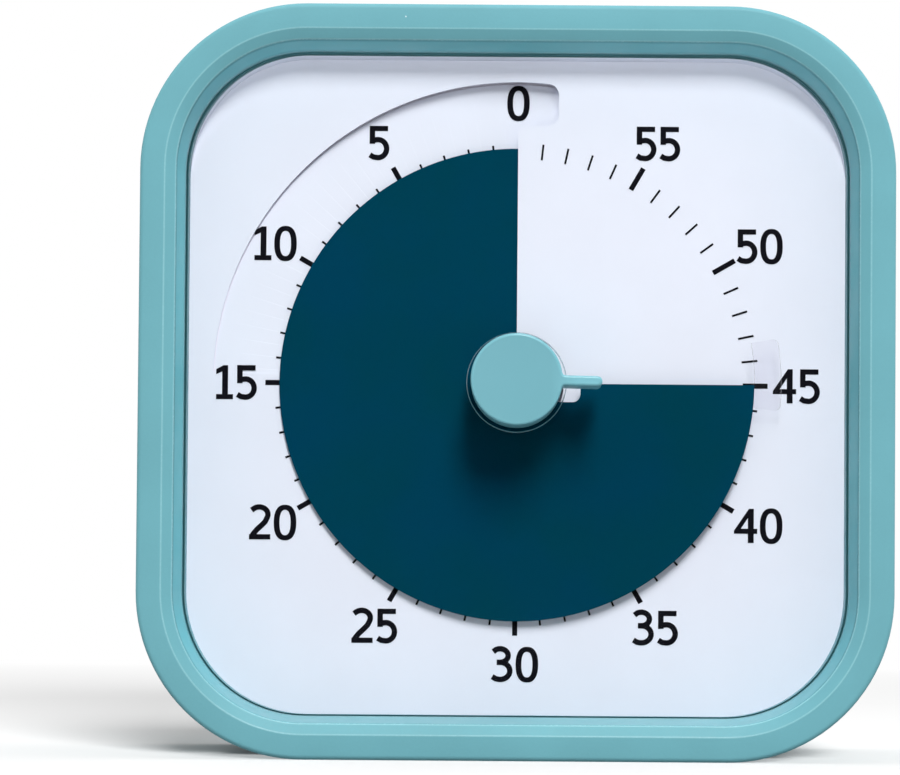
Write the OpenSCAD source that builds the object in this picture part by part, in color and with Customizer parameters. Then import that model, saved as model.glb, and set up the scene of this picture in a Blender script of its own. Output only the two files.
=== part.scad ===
// Visual countdown timer: a square desk timer in a soft cover, whose thin coloured
// disk winds out of a slit in the dial and shows the minutes left.
// X runs to the right, Y to the back and Z up. The origin is under the middle of the base.
// Names ending in _d are depths, measured back from the plane of the front rim.

/* [Body] */
// Width across the soft cover
body_w = 94; // [92:0.5:104]
// Height across the soft cover
body_h = 94; // [92:0.5:104]
// Depth from the front rim to the rear lip
body_depth = 54; // [52.5:0.5:60]
// Corner radius of the soft cover, seen from the front
corner_r = 20.7; // [19.5:0.1:22]

/* [Soft cover] */
// Wall thickness
cover_t = 1.9; // [1.5:0.1:2.2]
// Rounding of the outer edges
cover_edge_r = 0.7; // [0.5:0.1:1.4]
// Width of the flat part of the front lip
lip_w = 3.1; // [2.8:0.1:3.5]
// Width of the sloping inner edge of the front lip
lip_slope_w = 1.4; // [1:0.1:1.6]
// Depth of that slope
lip_slope_d = 0.8; // [0.6:0.1:1.2]
// Thickness of the front lip
lip_t = 2; // [1.6:0.1:2.4]
// Width of the rear lip
rear_lip_w = 9.5; // [8:0.5:9.5]
// Thickness of the rear lip
rear_lip_t = 2; // [1.5:0.1:2.5]

/* [Housing] */
// Wall thickness of both housings
housing_t = 1.8; // [1.5:0.1:2]
// How far the window stands in from the lip
bezel_lean = 0.9; // [0.7:0.1:1.4]
// Depth of the leaning part of the bezel wall, below which it is straight
bezel_slope_d = 3; // [2.5:0.1:4]
// Depth of the seam between the two housings
seam_d = 23; // [21:0.5:26]
// Thickness of the back plate
back_t = 2.5; // [2.2:0.1:3]
// Wall of the rear housing's tongue inside the front housing
tongue_t = 1.2; // [1:0.1:1.4]
// Distance of the screw posts from the centres of the corner curves
post_u = 13.6; // [13.4:0.1:14]
// Radius of the screw posts
post_r = 3.6; // [3.4:0.1:3.8]

/* [Lens] */
// Depth of the lens behind the rim
lens_d = 6.7; // [6:0.1:7.5]
// Thickness of the lens
lens_t = 1.2; // [1:0.1:1.5]
// Width of the ledge that the lens rests on
lens_ledge = 0.15; // [0.1:0.05:0.4]
// Radius of the hole for the knob
lens_hole_r = 6.2; // [6.1:0.1:7]

/* [Dial] */
// Height of the dial's axis above the middle of the body
dial_rise = 0.3; // [0:0.05:0.6]
// Thickness of the dial sheet
dial_t = 0.25; // [0.15:0.05:0.3]
// Radius of the hole round the disk's hub
dial_hole_r = 6; // [5.9:0.1:6.1]
// Distance of the sunk ramp's edge from the window
ramp_margin = 3.1; // [3.1:0.05:3.25]
// Depth of the ramp below the disk's path where it starts, at zero
ramp_drop = 1.2; // [0.8:0.1:1.4]
// Distance of the ticks' inner ends from the ring of numerals
tick_margin = 6.8; // [6.5:0.1:8]
// Length of the ticks at every fifth minute
long_tick_l = 3.15; // [2.6:0.05:3.3]
// Width of the ticks at every fifth minute
long_tick_w = 0.65; // [0.5:0.05:0.8]
// Length of the minute ticks
short_tick_l = 2; // [1.6:0.1:2.4]
// Width of the minute ticks
short_tick_w = 0.26; // [0.2:0.02:0.4]
// Distance of the ring of numerals from the window
numeral_margin = 6.1; // [6.1:0.1:6.6]
// Height of the numerals
numeral_h = 4.4; // [4:0.1:4.6]
// Thickness of the printed ink
ink_t = 0.03; // [0.02:0.01:0.04]

/* [Disk] */
// How far the disk covers the ticks
tick_cover = 1.35; // [0.8:0.05:1.6]
// Thickness of the disk
disk_t = 0.2; // [0.12:0.02:0.22]
// How far the disk climbs in one turn
disk_rise = 3; // [2.8:0.1:3.2]
// Radial length of the cut at the inner end of the leading edge
disk_cut_l = 8.1; // [7.5:0.1:8.5]
// Width of that cut
disk_cut_w = 2.3; // [1.8:0.1:2.6]
// Outer radius of the disk's hub
hub_r = 5.2; // [4.8:0.1:5.3]
// How far the clear film tab reaches beyond the disk
tab_reach = 3.45; // [2.5:0.05:3.5]
// How far the film tab reaches ahead of the leading edge
tab_ahead = 5.6; // [4:0.1:6]
// How far the film tab reaches behind the leading edge
tab_behind = 2.9; // [2:0.1:3]
// Thickness of the film tab
tab_t = 0.08; // [0.05:0.01:0.08]

/* [Knob] */
// Radius of the knob
knob_r = 5.73; // [5.4:0.01:5.8]
// Reach of the pointer from the axis
pointer_l = 10.65; // [9:0.05:12]
// Width of the pointer
pointer_w = 1.3; // [1.2:0.05:2]
// Gap between the pointer and the lens
pointer_gap = 0.5; // [0.3:0.1:0.8]
// Rounding of the knob's top edge
knob_edge_r = 0.4; // [0.2:0.05:0.5]
// Wall of the knob's skirt
knob_wall = 1.2; // [1:0.1:1.4]
// Radius of the spindle
spindle_r = 1.5; // [1.3:0.1:1.6]
// Distance of the spindle's flat from its axis
spindle_flat = 1.1; // [0.9:0.05:1.15]

/* [Movement] */
// Width of the movement case
movement_w = 56; // [55:0.5:57]
// Height of the movement case
movement_h = 44; // [43.5:0.5:45]
// Height of the case's middle above the dial's axis
movement_rise = 6; // [5.5:0.1:6.5]
// Depth of the movement case
movement_depth = 15; // [14.8:0.1:15.6]
// Wall thickness of the movement case
movement_t = 1.2; // [1:0.1:1.3]
// Distance of the lower movement screws from the rim of the disk's pocket
movement_screw_wall = 1.4; // [1.3:0.1:2]
// Height of the movement screws above and below the case's middle
movement_screw_y = 14; // [12:0.5:15]
// Radius of the movement screws
movement_screw_r = 1; // [0.8:0.05:1.1]
// Thickness of the wheels
wheel_t = 0.8; // [0.6:0.1:0.9]
// Radius of the wheels' arbors
arbor_r = 0.5; // [0.4:0.05:0.6]
// Radius of the pivots at the ends of the arbors
pivot_r = 0.35; // [0.25:0.05:0.4]

/* [Battery] */
// Radius of the battery
battery_r = 7.25; // [7:0.05:7.25]
// Length of the battery with its button
battery_l = 50.5; // [49:0.5:51]
// Distance of the battery door from the rear lip
door_margin = 1.6; // [1:0.1:2.5]
// Thickness of the battery door
door_t = 1.6; // [1.3:0.1:1.7]
// Width of the ledge round the battery bay that the door rests on
door_ledge = 2.2; // [1.8:0.1:2.4]

/* [Sound] */
// Distance of the buzzer and the switch from the middle of the back
sound_x = 20; // [18:0.5:21]
// Height of the buzzer and the switch above the middle of the body
sound_y = 17; // [15:0.5:18]
// Radius of the buzzer
buzzer_r = 11; // [10:0.5:12]
// Travel of the sound switch
switch_travel = 3; // [2:0.5:3.5]
// Radius of the insulated leads
lead_r = 0.5; // [0.4:0.05:0.6]

/* [Fits] */
// Gap between seated shells
shell_gap = 0.1; // [0.05:0.05:0.15]
// Gap between a shaft and its bearing
running_gap = 0.05; // [0.03:0.01:0.08]
// Gap round the battery door and the sound switch
slide_gap = 0.2; // [0.15:0.05:0.3]
// Gap between pieces that are pressed together
press_gap = 0.02; // [0.01:0.01:0.03]
// Gap round the shanks of the screws in the pieces that they clamp
screw_gap = 0.1; // [0.05:0.05:0.2]
// Share of the pitch left free between the teeth of the wheels
tooth_play = 0.14; // [0.1:0.01:0.2]

/* [Hidden] */
$fn = 64;

// Colours
teal = [0.47, 0.71, 0.75];
deep_teal = [0.4, 0.64, 0.69];
petrol = [0.02, 0.28, 0.36];
ink = [0.1, 0.1, 0.12];
paper = [0.9, 0.93, 0.96];
clear = [0.85, 0.92, 0.95, 0.3];
steel = [0.7, 0.7, 0.72];
brass = [0.78, 0.66, 0.36];
copper = [0.75, 0.42, 0.24];
board_green = [0.1, 0.38, 0.2];

// Overshoot of a cut beyond the face that it opens
over = 1;

// Insets from the outline of the body, seen from the front
housing_inset = cover_t + shell_gap;
cavity_inset = housing_inset + housing_t;
bezel_inset = lip_w + lip_slope_w;
window_inset = bezel_inset + bezel_lean;
seat_inset = cavity_inset + shell_gap;

// Depths, from the front to the back
housing_d = lip_t;
lens_back_d = lens_d + lens_t;
disk_room = 0.5;
disk_top_d = lens_back_d + disk_room;
disk_zero_d = disk_top_d + disk_rise;
dial_d = disk_zero_d - disk_rise / 8 - dial_t / 2;
dial_back_d = dial_d + dial_t;
ramp_d = disk_zero_d + ramp_drop;
hub_margin = 0.4;
hub_play = 0.2;
pocket_d = disk_zero_d + disk_rise + hub_margin + hub_play;
carrier_floor_t = 1.4;
carrier_back_d = pocket_d + carrier_floor_t;
back_d = body_depth - rear_lip_t;
back_inner_d = back_d - back_t;
lens_inset = window_inset - lens_ledge;

// The rings of the dial follow the window
window_r = min(body_w, body_h) / 2 - window_inset;
numeral_r = window_r - numeral_margin;
ramp_r = window_r - ramp_margin;
tick_r = numeral_r - tick_margin;
disk_r = tick_r + tick_cover;
tab_r = disk_r + tab_reach;
pocket_play = 0.5;
pocket_r = tab_r + pocket_play;

// Corner centres of the outline
corner_x = body_w / 2 - corner_r;
corner_y = body_h / 2 - corner_r;
post_x = corner_x + post_u * cos(45);
post_y = corner_y + post_u * sin(45);

// The disk at rest stands at 45 minutes, and winds anticlockwise from the slit
minute_angle = 6;
shown_minutes = 45;
lead_angle = shown_minutes * minute_angle;
ramp_angle = 90;
tab_overlap = 2;
film_gap = 0.01;

// --- Placing ---------------------------------------------------------------

// Front view of the body: x right, y up, z towards the viewer, z = 0 at the rim
module facing() {
    translate([0, -body_depth / 2, body_h / 2]) rotate([90, 0, 0]) children();
}

// The same view, centred on the dial's axis
module on_axis() {
    facing() translate([0, dial_rise, 0]) children();
}

// Extrudes a front-view outline between two depths
module slab(front, back) {
    translate([0, 0, -back]) linear_extrude(back - front) children();
}

module rod(r, front, back) {
    translate([0, 0, -back]) cylinder(r = r, h = back - front);
}

// Puts children at the four corners (x, y), mirrored from one to the next
module four_corners(x, y) {
    for (sx = [-1, 1], sy = [-1, 1]) translate([sx * x, sy * y, 0]) children();
}

// Runs a profile round the body. The profile's x is the distance out from the
// corner centres and its y is the height towards the viewer.
module round_body() {
    for (quarter = [0:3]) {
        x = (quarter == 0 || quarter == 3) ? corner_x : -corner_x;
        y = (quarter < 2) ? corner_y : -corner_y;
        translate([x, y, 0]) rotate([0, 0, 90 * quarter]) rotate_extrude(angle = 90) children();
        run = (quarter % 2 == 0) ? 2 * corner_y : 2 * corner_x;
        out = (quarter % 2 == 0) ? corner_x : corner_y;
        rotate([0, 0, 90 * quarter]) translate([out, run / 2, 0])
            rotate([90, 0, 0]) linear_extrude(run) children();
    }
}

// A plate with the outline of the body, set in by a distance all round
module body_plate(inset, front, back) {
    round_body() translate([0, -back]) square([corner_r - inset, back - front]);
    slab(front, back) square([2 * corner_x, 2 * corner_y], center = true);
}

// --- Shapes that repeat ----------------------------------------------------

function polar(r, a) = [r * cos(a), r * sin(a)];

// Dial angles run anticlockwise from 12 o'clock
function dial_point(r, a) = polar(r, a + 90);

// A sheet round the dial's axis. Its edges and faces are functions of the dial angle.
module spiral_sheet(angles, inner, outer, top, bottom) {
    n = len(angles) - 1;
    points = [for (a = angles) let (q = dial_point(inner(a), a), p = dial_point(outer(a), a))
        each [[q[0], q[1], top(a)], [p[0], p[1], top(a)], [p[0], p[1], bottom(a)], [q[0], q[1], bottom(a)]]];
    // The top and the underside are split along the same diagonal, so the sheet keeps its thickness
    sides = [for (i = [0:n - 1], t = [[0, 4, 5], [0, 5, 1], [1, 5, 6], [1, 6, 2],
        [2, 6, 3], [3, 6, 7], [3, 7, 4], [3, 4, 0]]) [for (k = t) 4 * i + k]];
    polyhedron(points, concat([[0, 1, 2, 3]], sides, [[4 * n + 3, 4 * n + 2, 4 * n + 1, 4 * n]]));
}

// Even steps between two dial angles
function steps(from_a, to_a, n) = [for (i = [0:n]) from_a + (to_a - from_a) * i / n];

// Height of the visible disk's middle at a dial angle
function disk_z(a) = -disk_zero_d + disk_rise * a / 360;

// Height of the dial's surface at a dial angle, on the ramp and beyond it. The ramp
// ends a little below the flat, inside its edge.
function dial_z(a) = a < ramp_angle ? -ramp_d + max(0, a) / (ramp_angle + 1) * (ramp_d - dial_d) : -dial_d;

// Involute flank, as the half angle of a tooth at a radius
function involute(a) = tan(a) * 180 / PI - a;
function flank(teeth, pitch_r, r) =
    let (pressure = 20, base_r = pitch_r * cos(pressure), a = acos(min(1, base_r / r)))
    90 * (1 - tooth_play) / teeth + involute(pressure) - involute(a);

// Outline of a spur gear with a tooth centred at the angle given
module gear_outline(teeth, mod, tooth_at, tip = 0.85, root = 1.15) {
    pitch_r = teeth * mod / 2;
    base_r = pitch_r * cos(20);
    root_r = pitch_r - root * mod;
    tip_r = pitch_r + tip * mod;
    start_r = max(root_r + film_gap, base_r);
    radii = [root_r, start_r, (start_r + tip_r) / 2, tip_r];
    polygon([for (i = [0:teeth - 1]) let (a = tooth_at + i * 360 / teeth)
        each concat([for (r = radii) polar(r, a - flank(teeth, pitch_r, r))],
            [for (k = [3:-1:0]) polar(radii[k], a + flank(teeth, pitch_r, radii[k]))])]);
}

// A row of points on an ellipse, and a stroke of even width along a path
function arc(c, rx, ry, from_a, to_a, n) =
    [for (i = [0:n]) let (a = from_a + (to_a - from_a) * i / n) c + [rx * cos(a), ry * sin(a)]];
function along(path, i) =
    let (d = path[min(i + 1, len(path) - 1)] - path[max(i - 1, 0)]) d / norm(d);
function beside(path, i, gap) = path[i] + gap * [-along(path, i)[1], along(path, i)[0]];
module stroke(path, w) {
    n = len(path) - 1;
    polygon(concat([for (i = [0:n]) beside(path, i, w / 2)],
        [for (i = [n:-1:0]) beside(path, i, -w / 2)]));
}

// A tube along a path, with flat sides
function ring_x(path, i) = let (d = path[min(i + 1, len(path) - 1)] - path[max(i - 1, 0)],
    side = cross(d, [1, 0, 0])) side / norm(side);
module wire(path, r, sides = 6) {
    n = len(path);
    points = [for (i = [0:n - 1]) let (d = path[min(i + 1, n - 1)] - path[max(i - 1, 0)],
            u = ring_x(path, i), v = cross(d / norm(d), u))
        for (k = [0:sides - 1]) path[i] + r * (cos(360 * k / sides) * u + sin(360 * k / sides) * v)];
    walls = [for (i = [0:n - 2], k = [0:sides - 1]) let (m = i * sides, j = (k + 1) % sides)
        [m + k, m + sides + k, m + sides + j, m + j]];
    polyhedron(points, concat([[for (k = [0:sides - 1]) k]], walls,
        [[for (k = [sides - 1:-1:0]) (n - 1) * sides + k]]));
}

// A lead that runs straight out of one point, bends over and runs straight into another
function lead_path(from_p, out, to_p, into, bend, n = 14) =
    let (a = from_p + out, b = a + bend * out, d = to_p - into, c = d - bend * into)
    concat([from_p], [for (i = [0:n]) let (s = i / n, q = 1 - s)
        q * q * q * a + 3 * s * q * q * b + 3 * s * s * q * c + s * s * s * d], [to_p]);

// --- Cover and housings ----------------------------------------------------

module silicone_cover() {
    outer = corner_r;
    inner = corner_r - cover_t;
    bevel = cover_edge_r;
    module edge(z, s) translate([outer - bevel, z - s * bevel]) circle(bevel);
    color(teal) facing() round_body() difference() {
        union() {
            polygon([[corner_r - bezel_inset, -lip_t], [corner_r - bezel_inset, -lip_slope_d],
                [corner_r - lip_w, 0], [outer - bevel, 0], [outer - bevel, -body_depth],
                [corner_r - rear_lip_w, -body_depth], [corner_r - rear_lip_w, -back_d],
                [inner, -back_d], [inner, -lip_t]]);
            translate([inner, -body_depth + bevel]) square([cover_t, body_depth - 2 * bevel]);
            edge(0, 1);
            edge(-body_depth, -1);
        }
        translate([corner_r - rear_lip_w - over, -back_d])
            square([inner - corner_r + rear_lip_w + over, back_d - lip_t]);
    }
}

module front_housing() {
    function u(inset) = corner_r - inset;
    pilot_l = 9;
    color(deep_teal) facing() difference() {
        union() {
            round_body() polygon([[u(housing_inset), -housing_d], [u(bezel_inset), -housing_d],
                [u(lens_inset), -housing_d - bezel_slope_d], [u(lens_inset), -lens_back_d],
                [u(window_inset), -lens_back_d], [u(window_inset), -dial_d],
                [u(cavity_inset), -dial_d], [u(cavity_inset), -seam_d], [u(housing_inset), -seam_d]]);
            four_corners(post_x, post_y) rod(post_r, dial_back_d + shell_gap, seam_d);
        }
        four_corners(post_x, post_y) rod(housing_screw_r, seam_d - pilot_l, seam_d + over);
    }
}

housing_screw_r = 1.1;
housing_screw_grip = 4;
housing_head_r = 2.1;
housing_head_t = 1.5;
housing_screw_l = 7.5;

// A pan head with a cross recess
module screw_head(r, t, seat) {
    difference() {
        rod(r, seat, seat + t);
        for (turn = [0, 90]) rotate([0, 0, turn])
            slab(seat + t / 2, seat + t + over) square([1.15 * r, 0.22 * r], center = true);
    }
}

module housing_screws() {
    seat = seam_d + housing_screw_grip;
    color(steel) facing() four_corners(post_x, post_y) {
        rod(housing_screw_r - press_gap, seam_d - housing_screw_l, seat);
        screw_head(housing_head_r, housing_head_t, seat);
    }
}

// Battery bay, in front view: the battery lies across the body
spring_room = 4.5;
contact_room = 1.8;
battery_play = 0.6;
battery_floor_gap = 0.3;
bay_wall = 1.5;
bay_l = battery_l + spring_room + contact_room;
bay_h = 2 * (battery_r + battery_play);
door_edge = door_ledge - slide_gap;
door_d = back_d - door_t;
battery_d = door_d - battery_r - battery_play;
bay_d = battery_d - battery_r - battery_floor_gap;
battery_y = -body_h / 2 + rear_lip_w + door_margin + door_edge + bay_h / 2;
negative_x = -bay_l / 2;
battery_x = negative_x + spring_room;

module bay_outline(grow) {
    translate([0, battery_y]) square([bay_l + 2 * grow, bay_h + 2 * grow], center = true);
}

// Contact plates against the ends of the bay, and the leads from their tags
contact_t = 0.4;
contact_gap = 0.05;
positive_x = bay_l / 2 - contact_gap - contact_t;
tag_gap = 0.2;
tag_y = battery_y + bay_h / 2 - tag_gap;
lead_gap = 0.3;
battery_lead_x = [negative_x + contact_gap + contact_t / 2, positive_x + contact_t / 2];

// Sound switch, in front view at (-sound_x, sound_y)
switch_recess_t = 1;
slider_w = 5;
slider_h = 4;
slot_h = 2.2;
stem_w = 2;
switch_body = [11, 6, 4];
switch_slot_w = stem_w + switch_travel + 2 * slide_gap;
slider_rim = 0.5;

module rear_housing() {
    function u(inset) = corner_r - inset;
    tongue = seat_inset + tongue_t;
    tongue_root = 3;
    vents = 6;
    vent_r = 0.9;
    vent_ring_r = 4;
    head_gap = 0.2;
    cup_l = 3;
    seat = seam_d + housing_screw_grip;
    color(deep_teal) facing() difference() {
        union() {
            round_body() polygon([[u(housing_inset), -seam_d], [u(seat_inset), -seam_d],
                [u(seat_inset), -carrier_back_d], [u(tongue), -carrier_back_d],
                [u(tongue), -seam_d - tongue_root], [u(cavity_inset), -seam_d - tongue_root],
                [u(cavity_inset), -back_inner_d], [0, -back_inner_d],
                [0, -back_d], [u(housing_inset), -back_d]]);
            slab(back_inner_d, back_d) square([2 * corner_x, 2 * corner_y], center = true);
            four_corners(post_x, post_y) rod(post_r, seam_d, back_inner_d + over);
            slab(bay_d - bay_wall, back_inner_d + over) bay_outline(bay_wall);
            translate([sound_x, sound_y]) difference() {
                rod(buzzer_r + bay_wall, back_inner_d - cup_l, back_inner_d + over);
                rod(buzzer_r + shell_gap, back_inner_d - cup_l - over, back_inner_d);
            }
        }
        four_corners(post_x, post_y) {
            rod(housing_screw_r + screw_gap, seam_d - over, back_d + over);
            rod(housing_head_r + head_gap, seat, back_d + over);
            rod(post_r + shell_gap, dial_d, seam_d);
        }
        slab(bay_d, back_d + over) bay_outline(0);
        slab(door_d, back_d + over) bay_outline(door_ledge);
        for (x = battery_lead_x) translate([x, battery_y + bay_h / 2 - over, -battery_d])
            rotate([-90, 0, 0]) cylinder(r = lead_r + lead_gap, h = bay_wall + 2 * over);
        translate([sound_x, sound_y]) {
            rod(vent_r, back_inner_d - over, back_d + over);
            for (i = [0:vents - 1]) translate(polar(vent_ring_r, i * 360 / vents))
                rod(vent_r, back_inner_d - over, back_d + over);
        }
        translate([-sound_x, sound_y]) {
            slab(back_d - switch_recess_t, back_d + over)
                square([slider_w + switch_travel, slider_h] + 2 * (slide_gap + slider_rim) * [1, 1],
                    center = true);
            slab(back_inner_d - over, back_d + over) square([switch_slot_w, slot_h], center = true);
        }
    }
}

module battery_door() {
    rib_t = 1;
    rib_l = 1.5;
    grip_w = 8;
    grip_h = 2.4;
    slit_w = 0.5;
    grip_t = 0.7;
    latch_w = 10;
    latch_l = 5;
    top = battery_y + bay_h / 2 + door_edge;
    color(deep_teal) facing() difference() {
        union() {
            slab(door_d, back_d) bay_outline(door_edge);
            difference() {
                slab(door_d - rib_l, door_d) bay_outline(-slide_gap);
                slab(door_d - rib_l - over, door_d) bay_outline(-slide_gap - rib_t);
                slab(door_d - rib_l - over, door_d)
                    translate([0, battery_y]) square([bay_l + over, bay_h / 2], center = true);
            }
        }
        for (side = [-1, 1]) slab(door_d - rib_l - over, back_d + over)
            translate([side * latch_w / 2, top - latch_l + (latch_l + over) / 2])
            square([slit_w, latch_l + over], center = true);
        slab(back_d - grip_t, back_d + over)
            translate([0, top - latch_l]) square([grip_w, grip_h], center = true);
    }
}

// --- Lens and dial ---------------------------------------------------------

module lens() {
    color(clear) facing() difference() {
        body_plate(lens_inset + running_gap, lens_d, lens_back_d);
        translate([0, dial_rise]) rod(lens_hole_r, lens_d - over, lens_back_d + over);
    }
}

// Low shelf beside the slit that holds the zero
shelf_angle = 8.9;
shelf_spare = 0.4;
shelf_reach = 2.6;
shelf_in_r = numeral_r - shelf_reach;
shelf_corner = 1.5;
slit_gap = 0.15;
slit_corner = 1.1;
slit_corner_angle = 2.2;

// The shelf with its rounded corners, and the rounded corner that leads down to the slit
module shelf_outline() {
    w = shelf_in_r * tan(shelf_angle);
    corner_x = w - shelf_corner;
    low_y = shelf_in_r + shelf_corner;
    high_y = sqrt(pow(ramp_r - shelf_corner, 2) - pow(corner_x, 2));
    intersection() {
        translate([-over, shelf_in_r]) square([corner_x + over, ramp_r]);
        circle(ramp_r);
    }
    translate([0, low_y]) square([w, high_y - low_y]);
    for (y = [low_y, high_y]) translate([corner_x, y]) circle(shelf_corner);
    translate([0, shelf_in_r - slit_corner]) difference() {
        translate([-over, 0]) square(slit_corner + over);
        translate([slit_corner, 0]) circle(slit_corner);
    }
}

// Inner edge of the shelf's floor at a dial angle
function shelf_floor_r(a) = shelf_in_r - (a < -slit_corner_angle ? 0 : slit_corner);
shelf_floor_angles = [-shelf_angle - shelf_spare, -slit_corner_angle - 0.1, -slit_corner_angle, -0.1];

// The part of the dial that is sunk, up to a little short of the ramp's end
module ramp_outline() {
    far = 2 * ramp_r;
    intersection() {
        circle(ramp_r);
        polygon([[0, 0], [0, far], [-far, far], [-far, far * tan(2)]]);
    }
}

module dial_face() {
    angles = concat(shelf_floor_angles, steps(0, ramp_angle, 30));
    color(paper) union() {
        facing() difference() {
            body_plate(seat_inset, dial_d, dial_back_d);
            translate([0, dial_rise]) {
                rod(dial_hole_r, dial_d - over, dial_back_d + over);
                slab(dial_d - over, dial_back_d + over) {
                    ramp_outline();
                    shelf_outline();
                }
            }
        }
        on_axis() spiral_sheet(angles, function(a) slit_gap + (a < 0 ? shelf_floor_r(a) : dial_hole_r),
            function(a) ramp_r - slit_gap, function(a) dial_z(a), function(a) dial_z(a) - dial_t);
    }
}

// Lays flat print on the dial at a dial angle and radius, tilted with the ramp. The
// zero lies across the foot of the ramp, and clears it.
module print_at(a, r) {
    half_zero = 2.6;
    zero_rise = 0.5;
    p = dial_point(r + (a == 0 ? zero_rise : 0), a);
    rise = a == 0 ? dial_z(half_zero) - dial_z(0) : 0;
    slope = (a > 0 && a < ramp_angle) ? atan((ramp_d - dial_d) / (r * ramp_angle * PI / 180)) : 0;
    translate([p[0], p[1], dial_z(a) + rise + film_gap]) rotate(a = slope, v = [p[0], p[1], 0])
        linear_extrude(ink_t) children();
}

module dial_ticks() {
    color(ink) on_axis() for (minute = [0:59]) {
        long = minute % 5 == 0;
        l = long ? long_tick_l : short_tick_l;
        w = long ? long_tick_w : short_tick_w;
        a = minute * minute_angle;
        if (minute > 0) print_at(a, tick_r + l / 2) rotate([0, 0, a]) square([w, l], center = true);
    }
}

// Numerals in units of their height, from the left end of the baseline
stroke_w = 0.158;
digit_w = [0.65, 0.49, 0.63, 0.64, 0.67, 0.61];
digit_gap = 0.078;

function squarish(c, rx, ry, n) = [for (i = [0:n - 1]) let (a = 360 * i / n, e = 2 / 2.4)
    c + [rx * sign(cos(a)) * pow(abs(cos(a)), e), ry * sign(sin(a)) * pow(abs(sin(a)), e)]];

module digit(d) {
    if (d == 0) difference() {
        polygon(squarish([0.325, 0.49], 0.325, 0.513, 36));
        polygon(squarish([0.325, 0.49], 0.16, 0.367, 36));
    }
    if (d == 1) polygon([[0, 0], [0.49, 0], [0.49, 0.145], [0.342, 0.145], [0.342, 0.98], [0.21, 0.98],
        [0, 0.865], [0, 0.72], [0.173, 0.8], [0.173, 0.145], [0, 0.145]]);
    if (d == 2) {
        stroke(concat([[0.07, 0.84]], arc([0.29, 0.72], 0.25, 0.215, 130, -20, 10),
            [[0.46, 0.51], [0.35, 0.4], [0.22, 0.28], [0.12, 0.16], [0.085, 0.08]]), stroke_w);
        square([0.612, 0.15]);
    }
    if (d == 3) {
        stroke(concat([[0.075, 0.855]], arc([0.27, 0.746], 0.235, 0.196, 120, -90, 12),
            [[0.173, 0.55]]), stroke_w);
        stroke(concat([[0.25, 0.55]], arc([0.28, 0.305], 0.275, 0.245, 80, -95, 12),
            [[0.15, 0.078], [0.045, 0.14]]), stroke_w);
    }
    if (d == 4) difference() {
        polygon([[0, 0.266], [0.403, 0.266], [0.403, 0], [0.572, 0], [0.572, 0.266], [0.673, 0.266],
            [0.673, 0.41], [0.572, 0.41], [0.572, 0.985], [0.43, 0.985], [0, 0.35]]);
        polygon([[0.2, 0.41], [0.403, 0.41], [0.403, 0.72]]);
    }
    if (d == 5) {
        translate([0.036, 0.464]) square([0.158, 0.521]);
        translate([0.036, 0.835]) square([0.53, 0.15]);
        stroke(concat([[0.1, 0.53], [0.16, 0.57]], arc([0.28, 0.324], 0.25, 0.263, 100, -90, 14),
            [[0.15, 0.078], [0.045, 0.14]]), stroke_w);
    }
}

module numeral(value) {
    tens = floor(value / 10);
    ones = value % 10;
    tens_w = tens > 0 ? digit_w[tens] + digit_gap : 0;
    scale(numeral_h) translate([-(tens_w + digit_w[ones]) / 2, -0.49]) {
        if (tens > 0) digit(tens);
        translate([tens_w, 0]) digit(ones);
    }
}

module dial_numerals() {
    color(ink) on_axis() for (value = [0:5:55]) print_at(value * minute_angle, numeral_r) numeral(value);
}

module dial_carrier() {
    notch_gap = 0.3;
    bite_spare = 0.2;
    color("white") facing() difference() {
        body_plate(seat_inset, dial_back_d, carrier_back_d);
        translate([0, dial_rise]) {
            rod(pocket_r, dial_back_d - over, pocket_d);
            rod(nose_r + running_gap, pocket_d - over, carrier_back_d + over);
            spiral_sheet(steps(-0.2, ramp_angle + 1, 30), function(a) pocket_r - over,
                function(a) ramp_r + shell_gap, function(a) 0,
                function(a) dial_z(min(a, ramp_angle - 0.01)) - dial_t - shell_gap);
            spiral_sheet(concat([-shelf_angle - 2 * shelf_spare], shelf_floor_angles),
                function(a) shelf_floor_r(a), function(a) ramp_r + shell_gap, function(a) 0,
                function(a) dial_z(a) - dial_t - shell_gap);
            movement_corners() rod(movement_screw_r + press_gap,
                carrier_back_d - movement_screw_bite - bite_spare, carrier_back_d + over);
        }
        four_corners(post_x, post_y) rod(post_r + notch_gap, dial_back_d - over, carrier_back_d + over);
    }
}

// --- Disk and knob ---------------------------------------------------------

// The disk's inner edge at a dial angle: round the hub, with a square cut behind
// the leading edge
function disk_inner(a) =
    let (behind = lead_angle - a, hub = hub_r + running_gap)
    behind > 40 ? hub
        : max(hub, min(disk_cut_l / cos(behind), disk_cut_w / sin(max(behind, 0.1))));

module timer_disk() {
    half = disk_t / 2;
    cut_angle = 30;
    angles = concat(steps(lead_angle - 360, lead_angle - cut_angle - 3, 80),
        steps(lead_angle - cut_angle, lead_angle, 20));
    color(petrol) on_axis() spiral_sheet(angles, function(a) disk_inner(a), function(a) disk_r,
        function(a) disk_z(a) + half, function(a) disk_z(a) - half);
}

module disk_tab() {
    // The film lies on the disk's face, and runs on ahead of it
    ahead = tab_ahead / disk_r * 180 / PI;
    behind = tab_behind / disk_r * 180 / PI;
    step_a = 0.1;
    angles = concat(steps(lead_angle - behind, lead_angle, 2),
        steps(lead_angle + step_a, lead_angle + ahead, 3));
    function film_z(a) = disk_z(a) + disk_t / 2 + film_gap;
    color(clear) on_axis() spiral_sheet(angles,
        function(a) a > lead_angle ? disk_r : disk_r - tab_overlap, function(a) tab_r,
        function(a) film_z(a) + tab_t, function(a) film_z(a));
}

// Round with a flat, for the spindle and what it turns
module d_rod(r, flat, front, back) {
    difference() {
        rod(r, front, back);
        translate([flat, -r - over, -back - over]) cube([r + over, 2 * (r + over), back - front + 2 * over]);
    }
}

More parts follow.
